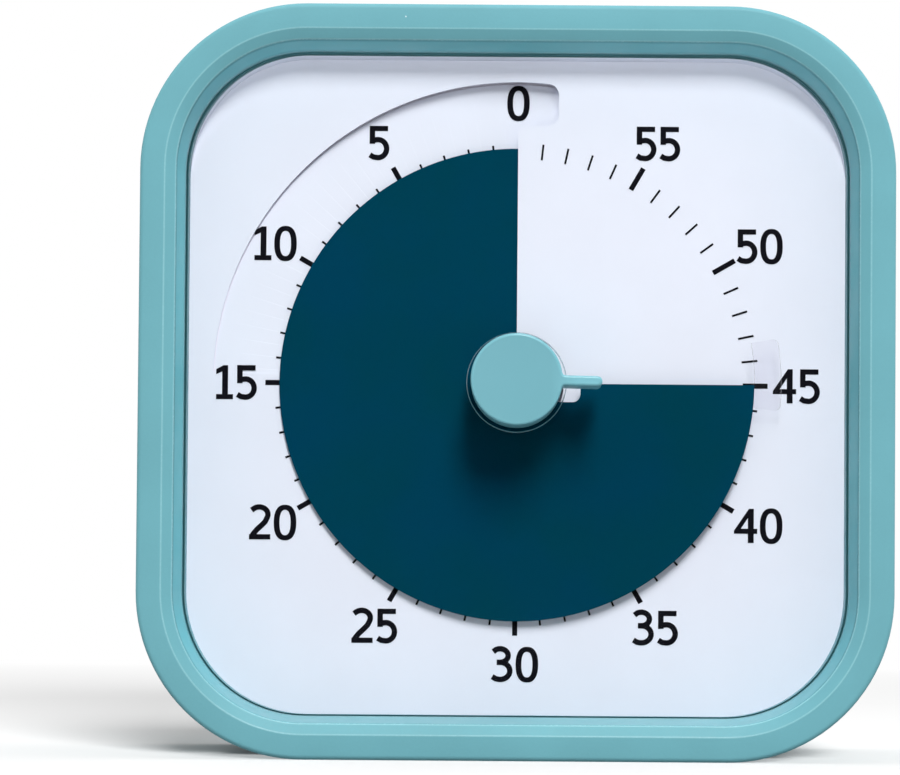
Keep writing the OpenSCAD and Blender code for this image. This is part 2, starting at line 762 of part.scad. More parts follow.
module disk_hub() {
    middle = -disk_z(lead_angle - 180);
    half_l = disk_rise / 2 + hub_margin;
    color("dimgray") on_axis() difference() {
        rod(hub_r, middle - half_l, middle + half_l);
        d_rod(spindle_r + running_gap, spindle_flat + running_gap,
            middle - half_l - over, middle + half_l + over);
    }
}

knob_bottom_gap = 0.4;
knob_bottom_d = disk_top_d - hub_margin - knob_bottom_gap;
spindle_top_d = 1.6;
boss_r = 3;

module knob() {
    knob_top_t = 1.4;
    tip_r = pointer_w / 2;
    pointer_bottom_d = lens_d - pointer_gap;
    color(teal) on_axis() difference() {
        union() {
            rotate_extrude() {
                translate([0, -knob_bottom_d]) square([knob_r, knob_bottom_d - knob_edge_r]);
                translate([0, -knob_edge_r]) square([knob_r - knob_edge_r, knob_edge_r]);
                translate([knob_r - knob_edge_r, -knob_edge_r]) circle(knob_edge_r);
            }
            rotate([0, 0, lead_angle + 90]) {
                slab(0, pointer_bottom_d) translate([0, -tip_r]) square([pointer_l - tip_r, pointer_w]);
                slab(0, pointer_bottom_d) translate([pointer_l - tip_r, 0]) circle(tip_r);
            }
        }
        difference() {
            rod(knob_r - knob_wall, knob_top_t, knob_bottom_d + over);
            rod(boss_r, 0, knob_bottom_d + 2 * over);
        }
        d_rod(spindle_r + press_gap, spindle_flat + press_gap, spindle_top_d, knob_bottom_d + 2 * over);
    }
}

// --- Movement --------------------------------------------------------------

nose_r = 3.2;
nose_d = pocket_d + hub_play;
case_d = carrier_back_d;
case_back_d = case_d + movement_depth;
plate_in_d = case_d + movement_t;
plate_out_d = case_back_d - movement_t;
case_seam_d = case_d + movement_depth * 0.47;
weld = 0.5;

// The screws stand outside the disk's pocket
movement_post_r = 2.4;
movement_screw_bite = 3;
movement_screw_x = sqrt(pow(pocket_r + movement_screw_wall, 2) - pow(movement_rise - movement_screw_y, 2));

module movement_corners() {
    translate([0, movement_rise]) four_corners(movement_screw_x, movement_screw_y) children();
}

// Layers of the wheels: even steps from the front plate to the back plate
layers = 7;
layer = (plate_out_d - plate_in_d) / layers;
centre_layer_d = plate_in_d + layer;
third_layer_d = centre_layer_d + layer;
fourth_layer_d = third_layer_d + layer;
intermediate_layer_d = fourth_layer_d + layer;
pinion_gap = 0.2;
pivot_l = 0.8;
end_play = 0.1;

// Teeth and modules of the four meshes, from the centre wheel to the rotor
leaves = 8;
centre_teeth = 64;
third_teeth = 60;
fourth_teeth = 40;
intermediate_teeth = 48;
centre_mod = 0.36;
third_mod = 0.3;
fourth_mod = 0.3;
intermediate_mod = 0.26;

// Arbor positions about the dial's axis: each one lies at its mesh's centre distance
third_way = 200;
fourth_way = 110;
intermediate_way = 45;
rotor_way = 20;
function mesh_l(teeth, mod) = (teeth + leaves) * mod / 2;
third_at = polar(mesh_l(centre_teeth, centre_mod), third_way);
fourth_at = third_at + polar(mesh_l(third_teeth, third_mod), fourth_way);
intermediate_at = fourth_at + polar(mesh_l(fourth_teeth, fourth_mod), intermediate_way);
rotor_at = intermediate_at + polar(mesh_l(intermediate_teeth, intermediate_mod), rotor_way);

// Motor: the coil lies across the top of the case, and the stator's arms reach down to the rotor
stator_d = intermediate_layer_d + layer;
stator_t = 1;
stator_arm_w = 3.8;
rotor_r = 1.9;
coil_x = 8;
coil_y = rotor_at[1] + 7;
stator_left = rotor_at[0] - 4.2;
stator_right = coil_x + 16;
stake_x = [stator_left + stator_arm_w / 2, stator_right - stator_arm_w / 2];

// Circuit board against the back of the case
board_at = [3.2, -14];
board_size = [19, 21];
board_post_inset = 2;
board_post_r = 1;
board_t = 0.8;
board_d = plate_out_d - 2 * board_t;
lead_y = board_at[1] + 16;
lead_x = [for (i = [0:3]) board_at[0] + 4 + 3 * i];

// Pivot holes for the four arbors of the train
module pivot_holes(front, back) {
    for (at = [third_at, fourth_at, intermediate_at, rotor_at])
        translate(at) rod(pivot_r + running_gap, front, back);
}

// A half of the case: a box with ears for the screws
module case_box(front, back) {
    slab(front, back) translate([0, movement_rise]) {
        square([movement_w, movement_h], center = true);
        for (side = [-1, 1]) translate([0, side * movement_screw_y])
            square([2 * movement_screw_x, 2 * movement_post_r], center = true);
    }
    movement_corners() rod(movement_post_r, front, back);
}

module case_room(front, back) {
    slab(front, back) translate([0, movement_rise])
        square([movement_w, movement_h] - 2 * movement_t * [1, 1], center = true);
}

module movement_front_case() {
    color("white") on_axis() difference() {
        union() {
            case_box(case_d, case_seam_d);
            rod(nose_r, nose_d, case_d + weld);
        }
        case_room(plate_in_d, case_seam_d + over);
        rod(spindle_r + running_gap, nose_d - over, plate_in_d + over);
        pivot_holes(plate_in_d - pivot_l, plate_in_d + over);
        movement_corners() rod(movement_screw_r + screw_gap, case_d - over, case_seam_d + over);
    }
}

module movement_rear_case() {
    stake_r = 1.5;
    post_inset = board_post_inset * [1, 1];
    color("gainsboro") on_axis() difference() {
        union() {
            difference() {
                case_box(case_seam_d, case_back_d);
                case_room(case_seam_d - over, plate_out_d);
            }
            translate(board_at + board_size / 2) four_corners(board_size[0] / 2 - post_inset[0],
                board_size[1] / 2 - post_inset[1]) rod(board_post_r, board_d + board_t, plate_out_d + weld);
            for (x = stake_x) translate([x, coil_y]) rod(stake_r, stator_d + stator_t, plate_out_d + weld);
        }
        rod(spindle_r + running_gap, plate_out_d - over, plate_out_d + pivot_l);
        pivot_holes(plate_out_d - over, plate_out_d + pivot_l);
        for (x = lead_x) translate([x, lead_y])
            rod(lead_r + lead_gap, plate_out_d - over, case_back_d + over);
        movement_corners() rod(movement_screw_r + screw_gap, case_seam_d - over, case_back_d + over);
    }
}

module movement_screws() {
    head_r = 1.9;
    head_t = 1.1;
    color(steel) on_axis() movement_corners() {
        rod(movement_screw_r, carrier_back_d - movement_screw_bite, case_back_d);
        screw_head(head_r, head_t, case_back_d);
    }
}

// A molded wheel with its pinion and arbor. The wheel meshes with the pinion of
// the next arbor and the pinion with the wheel of the one before.
module arbor(at, wheel_d, teeth, mod, wheel_tooth, pinion_d, pinion_mod, pinion_tooth) {
    translate(at) {
        rod(pivot_r, plate_in_d - pivot_l + end_play, plate_out_d + pivot_l - end_play);
        rod(arbor_r, plate_in_d + pinion_gap, plate_out_d - pinion_gap);
        slab(wheel_d, wheel_d + wheel_t) gear_outline(teeth, mod, wheel_tooth);
        slab(pinion_d, wheel_d) gear_outline(leaves, pinion_mod, pinion_tooth);
    }
}

// A gap of a wheel faces the pinion that it meets, so its teeth lie half a pitch off
function gap_towards(way, teeth) = way + 180 / teeth;

module centre_wheel() {
    hole_r = 2.6;
    hole_ring_r = 7.2;
    holes = 5;
    back = centre_layer_d + wheel_t + over;
    color(brass) on_axis() difference() {
        slab(centre_layer_d, centre_layer_d + wheel_t)
            gear_outline(centre_teeth, centre_mod, gap_towards(third_way, centre_teeth));
        rod(spindle_r + running_gap, centre_layer_d - over, back);
        for (i = [0:holes - 1]) translate(polar(hole_ring_r, i * 360 / holes))
            rod(hole_r, centre_layer_d - over, back);
    }
}

module third_wheel() {
    color("ivory") on_axis() arbor(third_at, third_layer_d, third_teeth, third_mod,
        gap_towards(fourth_way, third_teeth), centre_layer_d - pinion_gap, centre_mod, third_way + 180);
}

module fourth_wheel() {
    color("ivory") on_axis() arbor(fourth_at, fourth_layer_d, fourth_teeth, fourth_mod,
        gap_towards(intermediate_way, fourth_teeth), third_layer_d - pinion_gap, third_mod, fourth_way + 180);
}

module intermediate_wheel() {
    color("ivory") on_axis() arbor(intermediate_at, intermediate_layer_d, intermediate_teeth,
        intermediate_mod, gap_towards(rotor_way, intermediate_teeth), fourth_layer_d - pinion_gap,
        fourth_mod, intermediate_way + 180);
}

magnet_d = stator_d - pinion_gap;
magnet_back_d = stator_d + stator_t + 2 * pinion_gap;

module rotor_shaft() {
    color("ivory") on_axis() translate(rotor_at) {
        rod(pivot_r, plate_in_d - pivot_l + end_play, plate_out_d + pivot_l - end_play);
        rod(arbor_r, plate_in_d + pinion_gap, plate_out_d - pinion_gap);
        slab(intermediate_layer_d - pinion_gap, magnet_d)
            gear_outline(leaves, intermediate_mod, rotor_way + 180);
    }
}

module rotor_magnet() {
    color("dimgray") on_axis() translate(rotor_at) difference() {
        rod(rotor_r, magnet_d, magnet_back_d);
        rod(arbor_r + press_gap, magnet_d - over, magnet_back_d + over);
    }
}

clutch_d = centre_layer_d + wheel_t;
clutch_spring_t = 0.3;
clutch_clip_t = 0.4;
clutch_r = 3;

module spindle() {
    collar_r = 4;
    collar_gap = 0.7;
    end_d = plate_out_d + pivot_l - end_play;
    color(steel) on_axis() {
        d_rod(spindle_r, spindle_flat, spindle_top_d, nose_d - end_play);
        rod(spindle_r, nose_d - end_play, end_d);
        rod(collar_r, plate_in_d + collar_gap, centre_layer_d);
    }
}

module clutch_spring() {
    scallop_r = 0.7;
    color(brass) on_axis() difference() {
        rod(clutch_r, clutch_d, clutch_d + clutch_spring_t);
        rod(spindle_r + press_gap, clutch_d - over, clutch_d + over);
        for (turn = [0, 120, 240]) rotate([0, 0, turn])
            translate([clutch_r, 0]) rod(scallop_r, clutch_d - over, clutch_d + over);
    }
}

module clutch_clip() {
    front = clutch_d + clutch_spring_t;
    rim = 0.2;
    color(steel) on_axis() difference() {
        rod(clutch_r - rim, front, front + clutch_clip_t);
        rod(spindle_r + press_gap, front - over, front + over);
        slab(front - over, front + over)
            translate([0, -spindle_r]) square([clutch_r + over, 2 * spindle_r]);
    }
}

cam_r = 5;
cam_gap = 0.4;
cam_d = intermediate_layer_d + wheel_t + cam_gap;
cam_t = 1.2;

module alarm_cam() {
    notch_r = 1.2;
    notch_rise = 0.3;
    color("ivory") on_axis() difference() {
        rod(cam_r, cam_d, cam_d + cam_t);
        rod(spindle_r + press_gap, cam_d - over, cam_d + cam_t + over);
        rotate([0, 0, lead_angle]) translate([cam_r + notch_rise, 0])
            rod(notch_r, cam_d - over, cam_d + cam_t + over);
    }
}

// A leaf that stands on the circuit board and reaches up beside the cam
module alarm_contact() {
    leaf_t = 0.25;
    leaf_l = 14;
    leaf_rim = 0.2;
    cam_clearance = 0.15;
    foot = [1.8, 2.5];
    foot_y = board_at[1] + foot[1];
    x = cam_r + cam_clearance;
    color(brass) on_axis() {
        slab(cam_d - leaf_rim, cam_d + cam_t + leaf_rim) translate([x, foot_y]) square([leaf_t, leaf_l]);
        slab(cam_d - leaf_rim, board_d) translate([x, foot_y - foot[1]]) square(foot);
    }
}

module stator_plate() {
    bar_w = 6;
    air_gap = 0.4;
    top = coil_y + 1.6;
    color(steel) on_axis() slab(stator_d, stator_d + stator_t) difference() {
        union() {
            translate([stator_left, rotor_at[1] - bar_w / 2]) square([stator_right - stator_left, bar_w]);
            for (x = stake_x) translate([x - stator_arm_w / 2, rotor_at[1]])
                square([stator_arm_w, top - rotor_at[1]]);
        }
        translate(rotor_at) circle(rotor_r + air_gap);
    }
}

core_t = 1;
core_w = 3;

module coil_core() {
    color(steel) on_axis() slab(stator_d - core_t, stator_d)
        translate([stator_left, coil_y - core_w / 2]) square([stator_right - stator_left, core_w]);
}

bobbin_l = 16;
bobbin_r = 2.2;
flange_r = 3.6;
flange_t = 0.8;

// Along the coil's axis, which lies across the body through the core
module on_coil(x) {
    translate([x, coil_y, -stator_d + core_t / 2]) rotate([0, 90, 0]) children();
}

module coil_bobbin() {
    color("dimgray") on_axis() difference() {
        union() {
            on_coil(coil_x - bobbin_l / 2) cylinder(r = bobbin_r, h = bobbin_l);
            for (x = [-bobbin_l / 2, bobbin_l / 2 - flange_t])
                on_coil(coil_x + x) cylinder(r = flange_r, h = flange_t);
        }
        slab(stator_d - core_t - running_gap, stator_d + running_gap) translate([coil_x, coil_y])
            square([bobbin_l + 2 * over, core_w + 2 * running_gap], center = true);
    }
}

module coil_winding() {
    wind_l = bobbin_l - 2 * (flange_t + running_gap);
    flange_rim = 0.4;
    color(copper) on_axis() difference() {
        on_coil(coil_x - wind_l / 2) cylinder(r = flange_r - flange_rim, h = wind_l);
        on_coil(coil_x - wind_l / 2 - over) cylinder(r = bobbin_r + press_gap, h = wind_l + 2 * over);
    }
}

module circuit_board() {
    color(board_green) on_axis() slab(board_d, board_d + board_t) translate(board_at) square(board_size);
}

module timer_chip() {
    chip_r = 3.5;
    chip_t = 1;
    color(ink) on_axis() translate(board_at + [13, 11]) rod(chip_r, board_d - chip_t, board_d);
}

module quartz_crystal() {
    can_r = 1;
    can_l = 6;
    at = board_at + [10, 3.5];
    color(steel) on_axis() translate([at[0], at[1], -board_d + can_r + contact_gap])
        rotate([0, 90, 0]) cylinder(r = can_r, h = can_l);
}

// --- Battery and sound -----------------------------------------------------

module across(x) {
    translate([x, battery_y, -battery_d]) rotate([0, 90, 0]) children();
}

module battery() {
    button_r = 2.7;
    button_l = 1.2;
    color("darkgoldenrod") facing() {
        across(battery_x) cylinder(r = battery_r, h = battery_l - button_l);
        across(battery_x + battery_l - button_l) cylinder(r = button_r, h = button_l);
    }
}

module contact_plate(x) {
    contact_w = 11;
    tag_w = 2.4;
    slab(battery_d - contact_w / 2, battery_d + contact_w / 2)
        translate([x, battery_y - contact_w / 2]) square([contact_t, contact_w]);
    slab(battery_d - tag_w / 2, battery_d + tag_w / 2)
        translate([x, battery_y]) square([contact_t, tag_y - battery_y]);
}

module battery_contact_positive() {
    dimple_r = 1.6;
    dimple_gap = 0.15;
    dimple_l = contact_room - contact_gap - contact_t - dimple_gap;
    color(steel) facing() {
        contact_plate(positive_x);
        across(positive_x - dimple_l) cylinder(r = dimple_r, h = dimple_l);
    }
}

module battery_contact_negative() {
    turns = 3;
    steps = 14;
    wire_r = 0.35;
    wide_r = 4.6;
    narrow_r = 2.6;
    spring_gap = 0.15;
    weld_in = 0.05;
    first_x = negative_x + contact_gap + contact_t + wire_r - weld_in;
    travel = battery_x - spring_gap - wire_r - first_x;
    coil = [for (i = [0:turns * steps]) let (s = i / (turns * steps), a = 360 * turns * s,
            r = wide_r + (narrow_r - wide_r) * s)
        [first_x + travel * s, battery_y + r * cos(a), -battery_d + r * sin(a)]];
    color(steel) facing() {
        contact_plate(negative_x + contact_gap);
        wire(coil, wire_r);
    }
}

// Where the leads end, on the back of the circuit board, in the front view of the body
function lead_end(i) = [lead_x[i], lead_y + dial_rise, -board_d - board_t - contact_gap];

module battery_leads() {
    out = [0, 3, 0];
    into = [0, 0, 3];
    bend = 2.5;
    color("firebrick") facing() for (i = [0, 1])
        wire(lead_path([battery_lead_x[i], tag_y + press_gap, -battery_d], out, lead_end(3 * i), into, bend),
            lead_r);
}

buzzer_l = 5;

module buzzer() {
    port_r = 1.5;
    color(ink) facing() translate([sound_x, sound_y]) difference() {
        rod(buzzer_r, back_inner_d - buzzer_l, back_inner_d);
        rod(port_r, back_inner_d - over, back_inner_d + over);
    }
}

module buzzer_leads() {
    apart = 2.5;
    out = [0, 0, 2];
    into = [0, 0, 3];
    bend = 1;
    color(ink) facing() for (i = [1, 2])
        wire(lead_path([sound_x + (2 * i - 3) * apart, sound_y, -back_inner_d + buzzer_l + press_gap],
            out, lead_end(i), into, bend), lead_r);
}

slider_x = -sound_x - switch_travel / 2;

module sound_slider() {
    cap_t = switch_recess_t - slide_gap;
    stem_l = 0.8;
    groove = [0.5, slider_h - 0.8];
    groove_t = 0.3;
    groove_step = 1.2;
    color(paper) facing() translate([slider_x, sound_y]) difference() {
        union() {
            slab(back_d - cap_t, back_d) square([slider_w, slider_h], center = true);
            slab(back_inner_d - stem_l, back_d - cap_t)
                square([stem_w, slot_h - 2 * slide_gap], center = true);
        }
        for (i = [-1:1]) slab(back_d - groove_t, back_d + over)
            translate([i * groove_step, 0]) square(groove, center = true);
    }
}

module sound_switch() {
    well_l = 1;
    color(steel) facing() translate([-sound_x, sound_y]) difference() {
        slab(back_inner_d - switch_body[2], back_inner_d)
            square([switch_body[0], switch_body[1]], center = true);
        slab(back_inner_d - well_l, back_inner_d + over) square([switch_slot_w, slot_h], center = true);
    }
}

// --- Nodes -----------------------------------------------------------------

silicone_cover();
front_housing();
rear_housing();
battery_door();
housing_screws();
lens();
dial_face();
dial_ticks();
dial_numerals();
dial_carrier();
timer_disk();
disk_tab();
disk_hub();
knob();
spindle();
movement_front_case();
movement_rear_case();
movement_screws();
centre_wheel();
third_wheel();
fourth_wheel();
intermediate_wheel();
rotor_shaft();
rotor_magnet();
clutch_spring();
clutch_clip();
alarm_cam();
alarm_contact();
stator_plate();
coil_core();
coil_bobbin();
coil_winding();
circuit_board();
timer_chip();
quartz_crystal();
battery();
battery_contact_positive();
battery_contact_negative();
battery_leads();
buzzer();
buzzer_leads();
sound_slider();
sound_switch();
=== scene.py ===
"""The looks of the visual countdown timer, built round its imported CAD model."""

import math

import bpy
from mathutils import Matrix, Vector


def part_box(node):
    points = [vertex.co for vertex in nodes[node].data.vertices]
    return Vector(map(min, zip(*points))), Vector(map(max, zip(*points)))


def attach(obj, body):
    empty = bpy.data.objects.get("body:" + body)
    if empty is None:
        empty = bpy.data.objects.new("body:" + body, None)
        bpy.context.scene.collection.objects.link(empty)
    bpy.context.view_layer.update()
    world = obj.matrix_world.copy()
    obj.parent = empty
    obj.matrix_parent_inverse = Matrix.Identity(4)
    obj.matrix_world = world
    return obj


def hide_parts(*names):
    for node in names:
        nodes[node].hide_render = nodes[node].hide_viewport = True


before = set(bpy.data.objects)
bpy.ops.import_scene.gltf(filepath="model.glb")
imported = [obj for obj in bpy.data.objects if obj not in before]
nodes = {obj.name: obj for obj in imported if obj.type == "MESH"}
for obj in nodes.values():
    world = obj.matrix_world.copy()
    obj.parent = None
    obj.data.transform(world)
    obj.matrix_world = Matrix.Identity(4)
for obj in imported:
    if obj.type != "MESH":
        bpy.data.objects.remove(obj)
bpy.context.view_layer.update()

# --- Sizes, in millimetres and degrees ---------------------------------------
# They are the CAD model's, but the lip's slope is 0.2 mm less deep.

MM = 0.001
BODY_HALF = 47
BODY_DEPTH = 54
CORNER_R = 20.7
DIAL_RISE = 0.3

# Insets from the body's outline, and depths behind its front
LIP_FLAT = 3.1
LIP_SLOPE = 0.6
LIP_BACK = 2.0
BEZEL_INSET = 4.5
COVER_INNER = 1.9
REAR_LIP_INSET = 9.5
REAR_LIP_FRONT = 52

LENS_INSET = 5.3
LENS_FRONT, LENS_BACK = 6.7, 7.9
LENS_HOLE_R = 6.2
WINDOW_INSET = 5.4
DIAL_DEPTH = 10.9

KNOB_R = 5.73
KNOB_BOTTOM = 7.6
POINTER_L = 10.65
POINTER_HALF_W = 0.65
POINTER_DROP = 1.1
POINTER_BOTTOM = 6.2
POINTER_FILLET = 0.42
SKIRT_INNER_R = 4.6

DISK_R = 30.05
DISK_T = 0.2
DISK_ZERO_DEPTH = 11.4
DISK_RISE = 3
HUB_HOLE_R = 5.25
CUT_L, CUT_W, CUT_CORNER = 8.1, 2.3, 1.0
CUT_END = 40
LEAD_ANGLE = 270

TAB_INNER_R, TAB_OUTER_R = 29.75, 33.5
TAB_T = 0.08
TAB_BEHIND, TAB_AHEAD = 5.53, 10.2
TAB_CORNER = 0.7

# --- Places ------------------------------------------------------------------

cover_low, cover_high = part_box("silicone_cover")
MIDDLE = (cover_low + cover_high) / 2


def at(x, up, depth):
    """The point x to the right of and up above the middle of the face, depth behind the rim."""
    return Vector((MIDDLE.x + x * MM, cover_low.y + depth * MM, MIDDLE.z + up * MM))


def on_dial(r, angle, depth):
    """The point at radius r, angle degrees anticlockwise from 12 o'clock round the dial's axis."""
    a = math.radians(angle)
    return at(-r * math.sin(a), DIAL_RISE + r * math.cos(a), depth)


def steps(first, last, count):
    """Numbers from first to last, count equal steps apart."""
    return [first + (last - first) * i / count for i in range(count + 1)]


# --- Mesh helpers ------------------------------------------------------------


def make_object(name, points, faces, body, node, materials, sharp=35, others=()):
    """A piece that rides on a body and stands for a CAD node, if one is named. others lists
    the faces that take the second material, then those that take the third."""
    mesh = bpy.data.meshes.new(name)
    mesh.from_pydata(points, [], faces)
    mesh.shade_smooth()
    mesh.set_sharp_from_angle(angle=math.radians(sharp))
    for material in materials:
        mesh.materials.append(material)
    for index, chosen in enumerate(others, 1):
        for face in chosen:
            mesh.polygons[face].material_index = index
    piece = bpy.data.objects.new(name, mesh)
    bpy.context.scene.collection.objects.link(piece)
    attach(piece, body)
    if node:
        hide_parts(node)
    return piece


def grid_faces(rows, columns, close_rows=False, close_columns=False, start=0):
    """Quads of a grid of points that are listed row by row."""
    faces = []
    for i in range(rows if close_rows else rows - 1):
        for j in range(columns if close_columns else columns - 1):
            k, m = (i + 1) % rows, (j + 1) % columns
            faces.append([start + i * columns + j, start + k * columns + j,
                          start + k * columns + m, start + i * columns + m])
    return faces


def end_faces(points, row):
    """The two faces that close a tube made of rows of this many points."""
    count = len(points)
    return [list(range(row)), list(range(count - row, count))[::-1]]


def rounded(profile, segments):
    """A closed profile of (x, y, radius) corners as a list of points, each corner rounded."""
    made = []
    for i, (x, y, radius) in enumerate(profile):
        corner = Vector((x, y))
        before = (Vector(profile[i - 1][:2]) - corner).normalized()
        after = (Vector(profile[(i + 1) % len(profile)][:2]) - corner).normalized()
        if radius == 0:
            made.append(corner)
            continue
        half = before.angle(after) / 2
        middle = corner + (before + after).normalized() * radius / math.sin(half)
        first = corner + before * radius / math.tan(half) - middle
        last = corner + after * radius / math.tan(half) - middle
        turn = first.angle_signed(last)
        for k in range(segments + 1):
            made.append(middle + Matrix.Rotation(-turn * k / segments, 2) @ first)
    return made


def body_ring():
    """Corner centres and directions round the body's rounded square: a point lies at
    centre + direction * (corner radius - inset)."""
    ring = []
    steps_of_corner = 26
    centre = BODY_HALF - CORNER_R
    for quarter in range(4):
        middle = math.radians(90 * quarter + 45)
        cx = math.copysign(centre, math.cos(middle))
        cy = math.copysign(centre, math.sin(middle))
        for angle in steps(90 * quarter, 90 * quarter + 90, steps_of_corner):
            a = math.radians(angle)
            ring.append((cx, cy, math.cos(a), math.sin(a)))
    return ring


def body_point(place, inset, depth):
    """The point at a place of the body's ring, drawn in by inset."""
    cx, cy, dx, dy = place
    r = CORNER_R - inset
    return at(cx + dx * r, cy + dy * r, depth)


# --- Node materials ----------------------------------------------------------


class Shader:
    """The node tree of a material or the world, built call by call. Patterns stay with the
    piece, in metres."""

    def __init__(self, owner):
        """owner is the name of a new material, or the world."""
        self.owner = bpy.data.materials.new(owner) if isinstance(owner, str) else owner
        self.owner.use_nodes = True
        self.tree = self.owner.node_tree
        self.tree.nodes.clear()
        self.place = self.add("ShaderNodeTexCoord").outputs["Object"]

    def add(self, kind, sockets=None, **settings):
        """A new node, with its sockets linked or set to values."""
        node = self.tree.nodes.new(kind)
        for name, value in settings.items():
            setattr(node, name, value)
        for name, value in (sockets or {}).items():
            if isinstance(value, bpy.types.NodeSocket):
                self.tree.links.new(value, node.inputs[name])
            else:
                node.inputs[name].default_value = value
        return node

    def noise(self, size_mm, detail, stretch=None):
        """Cloudy noise, finer along an axis that stretch scales up."""
        place = self.place
        if stretch:
            mapping = self.add("ShaderNodeMapping", {"Vector": place, "Scale": stretch})
            place = mapping.outputs[0]
        return self.add("ShaderNodeTexNoise", {
            "Vector": place, "Scale": 1 / (size_mm * MM), "Detail": detail}).outputs["Fac"]

    def waves(self, size_mm, direction, distortion):
        """Bands, about size_mm from one to the next."""
        apart_at_scale_one = 0.314
        return self.add("ShaderNodeTexWave", {
            "Vector": self.place, "Scale": apart_at_scale_one / (size_mm * MM),
            "Distortion": distortion}, bands_direction=direction).outputs["Fac"]

    def ramp(self, value, low, high, to_low=0.0, to_high=1.0):
        """Runs from to_low to to_high as the value runs from low to high, and stays there."""
        return self.add("ShaderNodeMapRange", {
            "Value": value, "From Min": low, "From Max": high,
            "To Min": to_low, "To Max": to_high}).outputs["Result"]

    def math(self, operation, a, b):
        """This operation of the Math node on two values."""
        return self.add("ShaderNodeMath", {0: a, 1: b}, operation=operation).outputs[0]

    def multiply(self, a, b):
        """Two colours, or a colour and a factor, multiplied."""
        product = self.add("ShaderNodeVectorMath", {0: a, 1: b}, operation="MULTIPLY")
        return product.outputs[0]

    def mix(self, share, a, b):
        """Colour a, and this share of b in it."""
        return self.add("ShaderNodeMixRGB", {"Fac": share, "Color1": a, "Color2": b}).outputs[0]

    def along(self, axis):
        """How far the point lies along this axis."""
        return self.add("ShaderNodeSeparateXYZ", {0: self.place}).outputs[axis]

    def specks(self, size_mm, spacing_mm, share):
        """Sparse small dots, 1 on a dot and 0 elsewhere."""
        cells = self.add("ShaderNodeTexVoronoi", {
            "Vector": self.place, "Scale": 1 / (spacing_mm * MM)})
        near = self.math("LESS_THAN", cells.outputs["Distance"], size_mm / 2 / spacing_mm)
        chosen = self.math("GREATER_THAN", cells.outputs["Color"], 1 - share)
        return self.math("MULTIPLY", near, chosen)

    def bump(self, height, depth_mm, under=None):
        """A normal for relief of this depth, laid over the relief under it."""
        sockets = {"Height": height, "Distance": depth_mm * MM}
        if under:
            sockets["Normal"] = under
        return self.add("ShaderNodeBump", sockets).outputs[0]

    def surface(self, lets_through=0.0, **sockets):
        """The finished material, from a Principled BSDF with these sockets. A thin sheet lets
        this share of the light through each of its faces."""
        names = {name.replace("_", " "): value for name, value in sockets.items()}
        shader = self.add("ShaderNodeBsdfPrincipled", names).outputs[0]
        if lets_through:
            clear = self.add("ShaderNodeBsdfTransparent", {"Color": grey(lets_through)})
            light = self.add("ShaderNodeLightPath").outputs["Is Shadow Ray"]
            shader = self.blend(light, shader, clear.outputs[0])
        return self.output(shader)

    def blend(self, share, a, b):
        """Shader a, and this share of shader b in it."""
        return self.add("ShaderNodeMixShader", {0: share, 1: a, 2: b}).outputs[0]

    def output(self, shader):
        """Ends the material with this shader, and returns it."""
        self.add("ShaderNodeOutputMaterial", {"Surface": shader})
        return self.owner


def grey(level):
    return (level, level, level, 1)


def rgb(r, g, b):
    return (r, g, b, 1)


def shade(colour, factor):
    """The colour made darker or lighter by this factor."""
    return tuple(c * factor for c in colour[:3]) + (1,)


COVER_TEAL = rgb(0.156, 0.418, 0.478)
# A paler teal for rounded edges: a painted highlight
PAINTED_HIGHLIGHT_TEAL = rgb(0.245, 0.525, 0.580)
HOUSING_TEAL = rgb(0.118, 0.448, 0.508)
KNOB_TEAL = rgb(0.172, 0.432, 0.500)
DUST = rgb(0.72, 0.86, 0.88)
DIAL_WHITE = rgb(0.790, 0.825, 0.925)
CARRIER_WHITE = rgb(0.775, 0.765, 0.850)
SLIDER_WHITE = rgb(0.70, 0.74, 0.78)
MOVEMENT_WHITE = rgb(0.75, 0.75, 0.73)
NYLON = rgb(0.72, 0.70, 0.60)
BLACK = grey(0.022)
HUB_BLACK = grey(0.03)
LEAD_BLACK = grey(0.02)
LEAD_RED = rgb(0.35, 0.02, 0.02)
INK, THIN_INK = rgb(0.0045, 0.0045, 0.0075), rgb(0.014, 0.015, 0.019)
PETROL, BLUER_PETROL = rgb(0.0001, 0.047, 0.076), rgb(0.0001, 0.046, 0.091)
PETROL_SPECK = rgb(0.10, 0.30, 0.36)
CLEAR = grey(1)
LENS_VEIL, LENS_EDGE = rgb(0.6, 0.75, 0.85), rgb(0.34, 0.40, 0.45)
FILM_TINT, FILM_VEIL, FILM_EDGE = rgb(0.975, 0.972, 0.982), grey(0.7), rgb(0.45, 0.45, 0.50)
NICKEL = rgb(0.62, 0.61, 0.58)
STEEL = rgb(0.55, 0.56, 0.57)
BRASS = rgb(0.62, 0.46, 0.20)
MAGNET = grey(0.09)
COPPER, COPPER_SHADE = rgb(0.62, 0.25, 0.10), rgb(0.20, 0.062, 0.020)
MASK_GREEN, TRACK_GREEN = rgb(0.012, 0.115, 0.045), rgb(0.040, 0.230, 0.085)
WRAP_DARK, WRAP_BRONZE = rgb(0.30, 0.17, 0.045), rgb(0.40, 0.24, 0.075)


